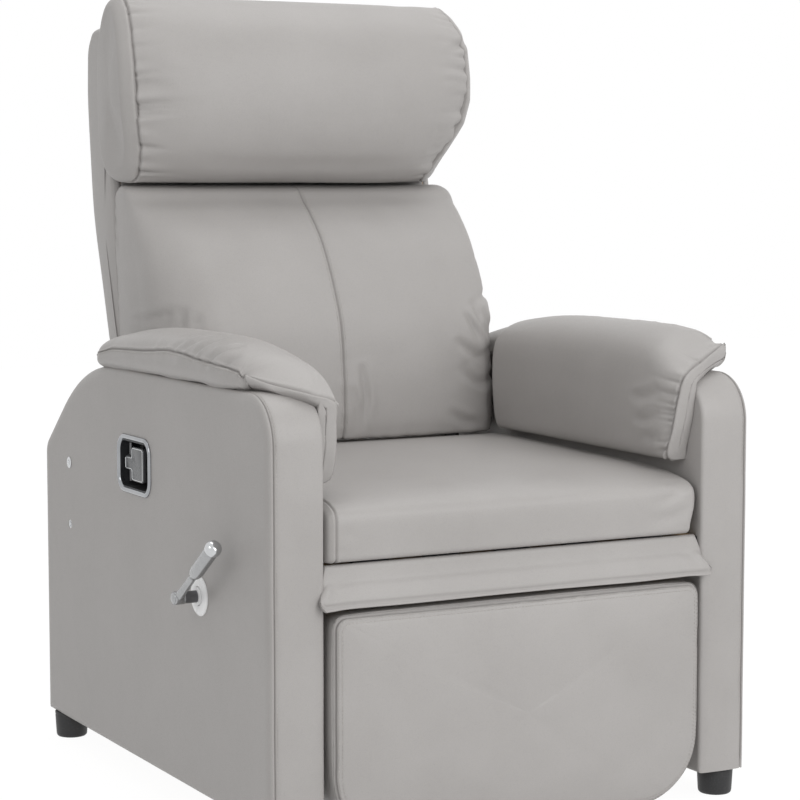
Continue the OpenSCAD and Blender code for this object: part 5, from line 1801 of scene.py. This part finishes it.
@dataclass
class LegRestPad:
    """The tall pad of the leg rest, with a welt round its face."""

    half: float = 275.0
    bottom: float = 10.0
    top: float = 306.0
    back: float = -351.0
    thick: float = 72.0
    low_r: float = 92.0
    high_r: float = 16.0

    BACK_SHARES = (0.1, 0.35, 0.65, 0.88)
    INNER_STEPS = (20, 30, 42, 56, 72, 88, 104, 120, 136)
    # Inset and depth of each ring from the back's rim to the face's rim
    STEPS = np.array([
        (6.0, 0.0), (1.5, 1.5), (0, 6), (0, 12), (0, 20), (0, 30), (0, 40), (0, 50), (0, 57), (0.6, 61.5),
        (2.4, 66), (5.2, 69.4), (9, 71.2), (13, 71.9)])

    def outline(self, d: float) -> Array:
        """Outline drawn in by d, as x and z."""
        hw, low, high = self.half - d, self.bottom + d, self.top - d
        most = (high - low) * 0.47
        rl = min(max(self.low_r - d, 44.0), most)
        rh = self.high_r - d * 0.3 if d < 10 else min(self.high_r - 3 + (d - 10) * 1.2, most)
        return np.concatenate([
            arc((hw - rh, high - rh), rh, 0, 90, 9),
            between((hw - rh, high), (rh - hw, high), 54),
            arc((rh - hw, high - rh), rh, 90, 180, 9),
            between((-hw, high - rh), (-hw, low + rl), 18),
            arc((rl - hw, low + rl), rl, 180, 270, 16),
            between((rl - hw, low), (hw - rl, low), 36),
            arc((hw - rl, low + rl), rl, 270, 360, 16),
            between((hw, low + rl), (hw, high - rh), 18)])

    def bulge(self, q: Array, mid_z: float) -> Array:
        """How far the face stands out at the x and z of q."""
        u = np.abs(q[:, 0]) / self.half
        w = np.abs(q[:, 1] - mid_z) / (self.top - mid_z)
        return 6.5 * (1 - u**2.2) * (1 - w**2.4) - 7.0

    def form(self) -> tuple[Loft, Array, Array]:
        """The plain form, and the inset and depth of each of its rings."""
        mid_z = (self.bottom + self.top) / 2
        rim = []
        for d, y in self.STEPS:
            q = self.outline(d)
            rim.append(np.stack([q[:, 0], self.back - y - self.bulge(q, mid_z) * (y > 60), q[:, 1]], axis=1))
        middle = np.array([0, 0, mid_z])
        back, face = [], []
        for f in self.BACK_SHARES:
            q = middle + (rim[0] - middle) * f
            q[:, 1] = rim[0][:, 1]
            back.append(q)
        for d in self.INNER_STEPS:
            q = middle + (rim[-1] - middle) * (1 - (d - 13) / 130)
            q[:, 1] = self.back - self.thick - self.bulge(q[:, [0, 2]], mid_z)
            face.append(q)
        rings = np.array(back + rim + face)
        rings[:, :, 1] = np.minimum(rings[:, :, 1], self.back - 0.2)
        ends = np.array([[0, self.back - 0.2, mid_z], [0, rings[-1, :, 1].min() - 0.3, mid_z]])
        inset = np.concatenate([[130, 90, 50, 20], self.STEPS[:, 0], self.INNER_STEPS])
        depth = np.concatenate([np.zeros(len(back)), self.STEPS[:, 1], np.full(len(face), self.thick)])
        return Loft(rings, ends), inset, depth

    def make(self, wardrobe: Wardrobe) -> bpy.types.Object:
        """Build the pad.

        Args:
            wardrobe: the finishes.

        Returns:
            The piece.
        """
        coarse, inset, depth = self.form()
        m, n = coarse.rings.shape[:2]
        hold = np.full((m, n), 0.12)
        hold[depth < 8] = 1.0
        hold[(depth > 61) & (depth < 70)] = 0.9
        swollen = coarse.inflated(hold, 22.0)
        at = float(np.interp(66.0, depth, np.arange(m)))
        rows = np.concatenate([np.arange(0, m - 0.99, 0.5), at + np.array([-0.35, -0.18, 0.0, 0.18, 0.35])])
        rows = np.unique(np.round(rows, 2))
        loft = swollen.read(rows, np.arange(0, n - 0.01, 0.5))
        over = run_along(np.stack([inset, depth], axis=1))
        across = np.interp(rows, np.arange(m), over) - np.interp(at, np.arange(m), over)
        p = loft.rings
        run, gap = np.broadcast_arrays(run_along(p[len(rows) // 2]), across[:, None])
        h = seam_groove(gap, 2.2, 1.4, 1.0, 3.0, 1.7)
        h += Gathers(601, 0.8, 20.0, 22.0)(run, gap) * (gap > 0)
        h += Gathers(611, 0.9, 16.0, 26.0)(run, -gap) * (gap < 0) * (gap > -40)
        h += Swell(37, 140.0, 1.6)(p) * (gap > 6)
        h *= p[..., 1] < self.back - 3
        loft.rings = p + loft.normals() * h[..., None]
        obj = cover("leg_rest_pad", "leg_rest", "leg_pad", loft, bell(gap, 1.3), 0.85, wardrobe)
        stitching = Stitching()
        normals = loft.normals()
        for off in (4.0, 9.0):
            row = int(np.argmin(np.abs(across - off)))
            path, up = (np.concatenate([a[row], a[row][:1]]) for a in (loft.rings, normals))
            stitching.line(path, up)
        stitching.finish("leg_rest_stitches", "leg_rest", wardrobe)
        return obj


@dataclass
class BridgeFlap:
    """The leather-covered board that hangs between the seat and the leg rest."""

    half: float = 282.5
    pivot_y: float = -390.0
    pivot_z: float = 363.1
    height: float = 48.0
    thick: float = 9.0

    FRONT = ((0.54, 0.03), (0.34, 0.085), (0.0, 0.104), (-0.36, 0.08), (-0.56, 0.02), (-0.66, -0.1),
             (-0.84, -0.24), (-0.98, -0.34), (-1.42, -0.47), (-1.8, -0.66), (-2.35, -0.88), (-2.75, -0.97))
    REAR = ((-2.45, -1.0), (-1.7, -0.98), (-1.25, -0.8), (-0.5, -0.58), (0.1, -0.28), (0.5, -0.07))
    END_STEPS = np.array([0, 1.2, 3.5, 8, 14, 20, 27, 35])

    def creases(self, s: int) -> tuple[Crease, Crease]:
        """The folds at the end towards s."""
        end = s * self.half
        return (
            Crease(((end - s * 20, -402, 352), (end - s * 12, -405, 338), (end - s * 3, -413, 320)), 4, 2.0),
            Crease(((end - s * 34, -400, 350), (end - s * 22, -404, 342)), 5, 1.4))

    def make(self, wardrobe: Wardrobe) -> bpy.types.Object:
        """Build the flap.

        Args:
            wardrobe: the finishes.

        Returns:
            The piece.
        """
        base = np.array(self.FRONT + self.REAR)
        base = spline(base, even_places(base, 64), loop=True)
        xs = np.concatenate([-self.half + self.END_STEPS, np.linspace(-self.half + 45, self.half - 45, 70),
                             self.half - self.END_STEPS[::-1]])
        sag, wave = Ripple(701, 160.0), Ripple(703, 60.0)
        low = np.clip(-base[:, 1], 0, 1)
        rings = []
        for x in xs:
            left = self.half - abs(x)
            end = float(np.clip(1 - left / 34.0, 0, 1))
            y = self.pivot_y + base[:, 0] * self.thick - end**1.5 * low * 5.0 + 1.1 * wave(x) * low
            z = self.pivot_z + base[:, 1] * self.height + 1.2 * sag(x) * low - end**2 * low * 1.5
            y = y + 0.6 * float(bell(left - 20, 5.0)) * (1 - low) * (base[:, 0] < 0)
            tight = 1 - 0.35 * max(0.0, 1 - left / 3.0)
            out = 12.0 * np.sign(x) * end**2 * ramp((low - 0.3) / 0.7)
            rings.append(np.stack(
                [x + out, y.mean() + (y - y.mean()) * tight, z.mean() + (z - z.mean()) * tight], axis=1))
        loft = Loft(np.array(rings), np.array([rings[0].mean(axis=0), rings[-1].mean(axis=0)]))
        p = loft.rings
        hem = p[..., 2] - (self.pivot_z - self.height * 0.86)
        seen = p[..., 1] < self.pivot_y - 8
        h = -bell(hem, 1.5) * seen
        for crease in (*self.creases(-1), *self.creases(1)):
            h += crease(p)
        loft.rings = p + loft.normals() * h[..., None]
        mark = bell(hem, 1.4) * seen * 0.7
        return cover("bridge_flap_cover", "bridge_flap", "flap_cover", loft, mark, 1.0, wardrobe)


# Hardware


def part_of(name: str, form: tuple[Array, list], sharp: float | None = None) -> bpy.types.Object:
    """Make an object of corners and faces, with edges above an angle in degrees kept sharp."""
    obj = make_object(name, *form)
    if sharp is not None:
        obj.data.set_sharp_from_angle(angle=math.radians(sharp))
    return obj


@dataclass
class Feet:
    """Four tapered feet with a rounded tip and a collar under the panel."""

    x: float = 335.0
    y: float = 369.0

    # Height and radius
    PROFILE = ((0, 0.01), (0, 18.5), (0.7, 21.0), (2.4, 22.6), (5, 23.2), (20, 24.1), (33.5, 24.8),
               (34.6, 24.3), (35.6, 24.9), (38.6, 25.0), (39, 24.6), (39, 0.01))

    def make(self, wardrobe: Wardrobe) -> None:
        """Build the feet."""
        for side in Side:
            for end, sy in (("front", -1), ("rear", 1)):
                word = f"foot_{end}_{side.name.lower()}"
                form = turned(self.PROFILE, (side.value * self.x, sy * self.y, 0), (0, 0, 1), 56)
                dress(part_of(word + "_turned", form, 50), "base", wardrobe.black, (word,))


@dataclass
class CupHandle:
    """The recessed handle: bright rim, dark dish and the paddle in it."""

    y: float = CUP_PLACE[0]
    z: float = CUP_PLACE[1]
    width: float = 121.0
    height: float = 82.0
    corner: float = 24.0
    rim: float = 9.0
    pin: float = 44.5

    # Share of the way from the rim's outside to its inside, and height over the panel
    RIM_STEPS = ((0, 0), (0.0, 1.2), (0.10, 2.5), (0.26, 3.5), (0.44, 3.7), (0.62, 3.0), (0.78, 1.4),
                 (0.9, -1.2), (1.0, -5.0), (0.97, -5.0), (0.8, -0.5))
    # Inset and height of the dish's inside, outset and height of its back
    DISH_STEPS = ((0, 1.0), (0, -24), (1.0, -28.5), (3.6, -31.2), (8, -32), (22, -32))
    BACK_STEPS = ((-22, -34), (-6, -34), (1.9, -30), (1.9, -0.5))
    PADDLE_STEPS = ((2.0, -9.6), (0.4, -9.2), (0.0, -8.2), (0.0, -5.2), (0.5, -4.3), (1.5, -4.0))
    SLEEVE = ((0, 0.01), (0, 5.0), (0.6, 5.5), (19.4, 5.5), (20, 5.0), (20, 0.01))
    TRIM = ((-0.9, -0.3), (-0.6, 0.45), (0.0, 0.7), (0.6, 0.45), (0.9, -0.3))

    def place(self, loop: Array, out: float) -> Array:
        """Loop on the panel, standing out by a distance."""
        return np.stack([np.full(len(loop), -X_OUT - out), self.y + loop[:, 0], self.z + loop[:, 1]], axis=1)

    def bezel(self) -> tuple[Array, list]:
        """The rounded rim as a swept ring."""
        outer = round_corner_loop(self.width, self.height, self.corner)
        inner = round_corner_loop(self.width - 2 * self.rim, self.height - 2 * self.rim,
                                  self.corner - self.rim)
        rings = np.array([self.place(outer + (inner - outer) * f, h) for f, h in self.RIM_STEPS])
        m, n = rings.shape[:2]
        return rings.reshape(-1, 3), turned_over(ring_faces(n, [(i, (i + 1) % m) for i in range(m)]))

    def dish(self) -> tuple[Array, list]:
        """The dark recess, round at the bottom."""
        w, h, r = self.width - 2 * self.rim, self.height - 2 * self.rim, self.corner - self.rim
        rings = [self.place(round_corner_loop(w - 2 * d, h - 2 * d, max(r - d, 4)), out)
                 for d, out in self.DISH_STEPS]
        rings += [self.place(round_corner_loop(w + 2 * d, h + 2 * d, r + d), out)
                  for d, out in self.BACK_STEPS]
        n, last, bottom = len(rings[0]), len(rings) - 1, len(self.DISH_STEPS) - 1
        faces = turned_over(ring_faces(n, [(i, i + 1) for i in range(last) if i != bottom]))
        faces.append(tuple(range(bottom * n, (bottom + 1) * n)))
        faces.append(tuple(range((bottom + 1) * n, (bottom + 2) * n))[::-1])
        return np.concatenate(rings), faces + turned_over(ring_faces(n, [(last, 0)]))

    def tee(self, d: float) -> Array:
        """Outline of the paddle drawn in by d, as y and z from the cup's middle."""
        pin = self.pin + 0.5
        w, h, n = 21 - d, 24 - d, 9.5 - d
        corners = np.array([(-w, -h), (w, -h), (w, -n), (pin - d, -n), (pin - d, n), (w, n), (w, h), (-w, h)])
        radii = [6 - d, 6 - d, 3 + d, 2, 2, 3 + d, 6 - d, 6 - d]
        t = np.linspace(0, 1, 7)[:, None]
        loop = []
        for k, (p, r) in enumerate(zip(corners, radii)):
            a = p + unit(corners[k - 1] - p) * r
            b = p + unit(corners[(k + 1) % len(corners)] - p) * r
            loop.append((1 - t) ** 2 * a + 2 * t * (1 - t) * p + t**2 * b)
        return np.concatenate(loop)

    def paddle(self) -> tuple[Array, list]:
        """The paddle with the sleeve round its pin."""
        rings = [self.place(self.tee(d), out) for d, out in self.PADDLE_STEPS]
        n, last = len(rings[0]), len(rings) - 1
        faces = turned_over(ring_faces(n, [(i, i + 1) for i in range(last)]))
        faces += [tuple(range(n)), tuple(range(last * n, (last + 1) * n))[::-1]]
        sleeve = turned(self.SLEEVE, (-X_OUT + 13, self.y + self.pin, self.z - 10), (0, 0, 1), 28)
        return join_parts([(np.concatenate(rings), faces), sleeve])

    def trim(self) -> tuple[Array, list]:
        """The bright line round the paddle's face."""
        line = self.place(self.tee(2.0), -3.9)
        out = np.array([-1.0, 0.0, 0.0])
        side = np.cross(unit(np.roll(line, -1, axis=0) - np.roll(line, 1, axis=0)), out)
        rings = [line + side * a + out * b for a, b in self.TRIM]
        m = len(rings)
        return np.concatenate(rings), ring_faces(len(line), [(i, (i + 1) % m) for i in range(m)])

    def make(self, wardrobe: Wardrobe) -> None:
        """Build rim, dish, paddle and the bright line round it."""
        dress(part_of("cup_rim", self.bezel()), "base", wardrobe.smoked, ("cup_bezel",))
        dress(part_of("cup_recess", self.dish(), 50), "base", wardrobe.recess, ("cup_dish",))
        dress(part_of("pull_handle", self.paddle(), 24), "pull_paddle", wardrobe.grip,
              ("pull_paddle",))
        dress(part_of("pull_handle_trim", self.trim()), "pull_paddle", wardrobe.chrome)


@dataclass
class LockLever:
    """The side lever: shaft, bent arm, thick grip and polished end, with its plate on the panel."""

    y: float = LEVER_PLACE[0]
    z: float = LEVER_PLACE[1]
    stand: float = 31.0
    angle: float = 35.0

    # The arm's middle line as distance towards the panel and along the lever
    BEND = ((12, 0), (8, 0), (4, 0), (-0.5, 0.6), (-0.6, 4), (0, 9), (0, 20), (0, 36), (0, 52), (0, 62),
            (0, 68))
    # Share of the arm, and its radius there
    ARM = np.array([(0, 5.4), (0.02, 5.6), (0.2, 6.2), (0.36, 6.0), (0.5, 5.4), (0.9, 5.1), (1.0, 5.3)])
    # Distance along the axis, and the radius there
    ELBOW = ((-8, 7.9), (-8, 8.3), (-7.4, 8.8), (4.6, 8.8), (6.6, 8.2), (8.0, 6.6), (8.8, 4.2), (9.1, 0.01))
    GRIP = ((62, 0.01), (62, 5.3), (65, 6.0), (70, 8.2), (75, 9.2), (80, 9.5), (128, 9.5), (133, 9.2),
            (135.4, 8.8), (136, 8.4), (136, 0.01))
    CAP = ((136, 0.01), (136, 9.3), (136.6, 10.4), (138, 11.0),
           *((141 + 8.6 * math.sin(k), 2.4 + 8.6 * math.cos(k)) for k in np.radians(np.linspace(0, 90, 9))),
           (149.6, 0.01))
    PLATE = ((0, 12.6), (0, 26.4), (0.8, 26.5), (2.2, 25.6), (3.4, 23.2), (4.0, 19.5), (4.0, 14.0),
             (3.4, 12.8), (0, 12.6))

    def way(self) -> Array:
        """Direction of the lever."""
        a = math.radians(90 - self.angle)
        return np.array([0.0, -math.sin(a), math.cos(a)])

    def make(self, wardrobe: Wardrobe) -> None:
        """Build the lever and the plate."""
        hub, w = np.array([-X_OUT - self.stand, self.y, self.z]), self.way()
        path = np.array([hub + np.array([near, 0, 0]) + w * along for near, along in self.BEND])
        path = spline(path, even_places(path, 46, loop=False))
        radii = np.interp(np.linspace(0, 1, len(path)), self.ARM[:, 0], self.ARM[:, 1])
        arm = join_parts([tube(path, radii, 28), turned(self.ELBOW, hub, (-1, 0, 0), 36)])
        for name, form, finish, node in (
            ("lever_bent_arm", arm, wardrobe.satin, "lever_arm"),
            ("lever_handgrip", turned(self.GRIP, hub, w), wardrobe.satin, "lever_grip"),
            ("lever_end_knob", turned(self.CAP, hub, w), wardrobe.chrome, "lever_end_cap"),
        ):
            dress(part_of(name, form), "lock_lever", finish, (node,))
        plate = open_ended(turned(self.PLATE, (-X_OUT, self.y, self.z), (-1, 0, 0), 64))
        dress(part_of("lever_plate", plate), "base", wardrobe.white, ("lever_escutcheon",))


@dataclass
class InsertCollars:
    """Bright collars of the two tray inserts, the upper one wider."""

    y: float = INSERT_Y
    heights: tuple[float, float] = INSERT_HEIGHTS
    # Radius of each collar and how far it stands out
    sizes: tuple[tuple[float, float], ...] = ((8.5, 1.5), (5.2, 0.3))

    def make(self, wardrobe: Wardrobe) -> None:
        """Build both collars."""
        parts = []
        for z, (r, top) in zip(self.heights, self.sizes):
            profile = [(-40, 6.0), (-0.5, 6.0), (-0.2, 6.4), (0, r - 0.3), (top * 0.5, r),
                       (top * 0.9, r - 0.5), (top, r - 1.2), (top, 4.4), (top - 0.4, 4.05), (-40, 4.0),
                       (-40, 6.0)]
            parts.append(open_ended(turned(profile, (-X_OUT, self.y, z), (-1, 0, 0))))
        collars = part_of("insert_collars", join_parts(parts), 50)
        dress(collars, "base", wardrobe.chrome, ("tray_inserts",))


# Studio


@dataclass
class Studio:
    """Pale floor, plain soft light and a white surrounding."""

    sky: float = 0.62
    floor_half: float = 7000.0
    floor_glow: float = 0.9

    # Name, place and aim in metres, side in metres and power in watts of each lamp
    LAMPS = (
        ("key_lamp", (0.9, -3.6, 2.1), (0.0, 0.0, 0.45), 2.2, 60.0),
        ("side_lamp", (-3.0, -1.6, 2.4), (-0.2, 0.0, 0.5), 1.4, 11.7),
        ("top_lamp", (0.3, 0.2, 3.4), (0.0, 0.0, 0.4), 2.4, 26.0),
    )

    def floor(self) -> None:
        """A wide floor that stays white to the camera and keeps a light shadow."""
        n = 24
        line = np.linspace(-self.floor_half, self.floor_half, n)
        grid = np.stack(np.meshgrid(line, line, indexing="ij"), axis=-1).reshape(-1, 2)
        faces = [(i * n + j, (i + 1) * n + j, (i + 1) * n + j + 1, i * n + j + 1)
                 for i in range(n - 1) for j in range(n - 1)]
        obj = make_object("studio_floor", np.hstack([grid, np.zeros((len(grid), 1))]), faces)
        mat = bpy.data.materials.new("studio_white")
        mat.use_nodes = True
        g = Graph(mat.node_tree)
        shader = mat.node_tree.nodes["Principled BSDF"]
        shader.inputs["Base Color"].default_value = (0.86, 0.86, 0.86, 1.0)
        shader.inputs["Roughness"].default_value = 0.7
        shader.inputs["Specular IOR Level"].default_value = 0.1
        glow = g.add("Emission", {"Color": (1.0, 1.0, 1.0, 1.0), "Strength": 1.06}).outputs[0]
        share = g.math("MULTIPLY", g.seen(), self.floor_glow)
        mixed = g.add("MixShader", {0: share, 1: shader.outputs[0], 2: glow}).outputs[0]
        g.feed(mat.node_tree.nodes["Material Output"], 0, mixed)
        obj.data.materials.append(mat)

    def world(self) -> None:
        """Even light from all round, and white behind the chair."""
        world = bpy.data.worlds.new("studio_world")
        bpy.context.scene.world = world
        world.use_nodes = True
        g = Graph(world.node_tree)
        back = world.node_tree.nodes["Background"]
        back.inputs["Color"].default_value = (1.0, 1.0, 1.0, 1.0)
        g.feed(back, "Strength", g.math("MULTIPLY_ADD", g.seen(), 1.0 - self.sky, self.sky))

    def make(self) -> None:
        """Build floor, world and the soft square lamps."""
        self.floor()
        self.world()
        for name, place, aim, side, power in self.LAMPS:
            data = bpy.data.lights.new(name, "AREA")
            data.shape = "SQUARE"
            data.size = side
            data.energy = power
            obj = bpy.data.objects.new(name, data)
            bpy.context.scene.collection.objects.link(obj)
            turn = (Vector(aim) - Vector(place)).to_track_quat("-Z", "Y").to_matrix().to_4x4()
            obj.matrix_world = Matrix.Translation(place) @ turn


@dataclass
class CameraRig:
    """The photograph's camera."""

    place: tuple[float, float, float] = (-1.5750, -3.0239, 0.8534)
    ahead: tuple[float, float, float] = (0.46828, 0.87853, -0.09431)
    right: tuple[float, float, float] = (0.88247, -0.47036, 0.0)
    lens: float = 107.142
    sensor: float = 36.0

    def make(self) -> None:
        """Build the camera and make it the scene's own."""
        data = bpy.data.cameras.new("photo_camera")
        data.lens = self.lens
        data.sensor_width = self.sensor
        data.sensor_fit = "HORIZONTAL"
        data.clip_end = 60.0
        obj = bpy.data.objects.new("photo_camera", data)
        bpy.context.scene.collection.objects.link(obj)
        x, z = Vector(self.right).normalized(), -Vector(self.ahead).normalized()
        turn = Matrix((x, z.cross(x), z)).transposed().to_4x4()
        obj.matrix_world = Matrix.Translation(self.place) @ turn
        bpy.context.scene.camera = obj


def dress_carried_nodes(frame: dict, wardrobe: Wardrobe) -> None:
    """Give every carried-over node the procedural material of its slot.

    Args:
        wardrobe: the finishes.
    """
    slots = {s["node"]: s["material_slot"] for s in frame["record"]["subparts"]}
    # The lock shaft and paddle pin get the dark metal as painted shade
    special = {"lock_shaft": wardrobe.shadow_dark_metal, "paddle_pin": wardrobe.shadow_dark_metal}
    for name, obj in frame["nodes"].items():
        material = special.get(name, wardrobe.of_slot(slots[name]))
        if not obj.data.materials:
            obj.data.materials.append(material)
        for k in range(len(obj.data.materials)):
            obj.data.materials[k] = material


def main() -> None:
    """Build the dressed chair."""
    logging.basicConfig(level=logging.INFO, format="%(name)s: %(message)s")
    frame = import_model()
    bpy.context.scene.view_settings.view_transform = "Standard"
    CameraRig().make()
    Studio().make()
    wardrobe = Wardrobe()
    dress_carried_nodes(frame, wardrobe)
    for side in Side:
        SidePanel(side).make(wardrobe)
        ArmPad(side).make(wardrobe)
    for kind in (SeatCushion, LumbarCushion, HeadrestRoll, BackShell, LegRestPad, BridgeFlap, Feet, CupHandle,
                 LockLever, InsertCollars):
        kind().make(wardrobe)
    bpy.context.view_layer.update()
    LOG.info("all pieces built")


if __name__ == "__main__":
    main()
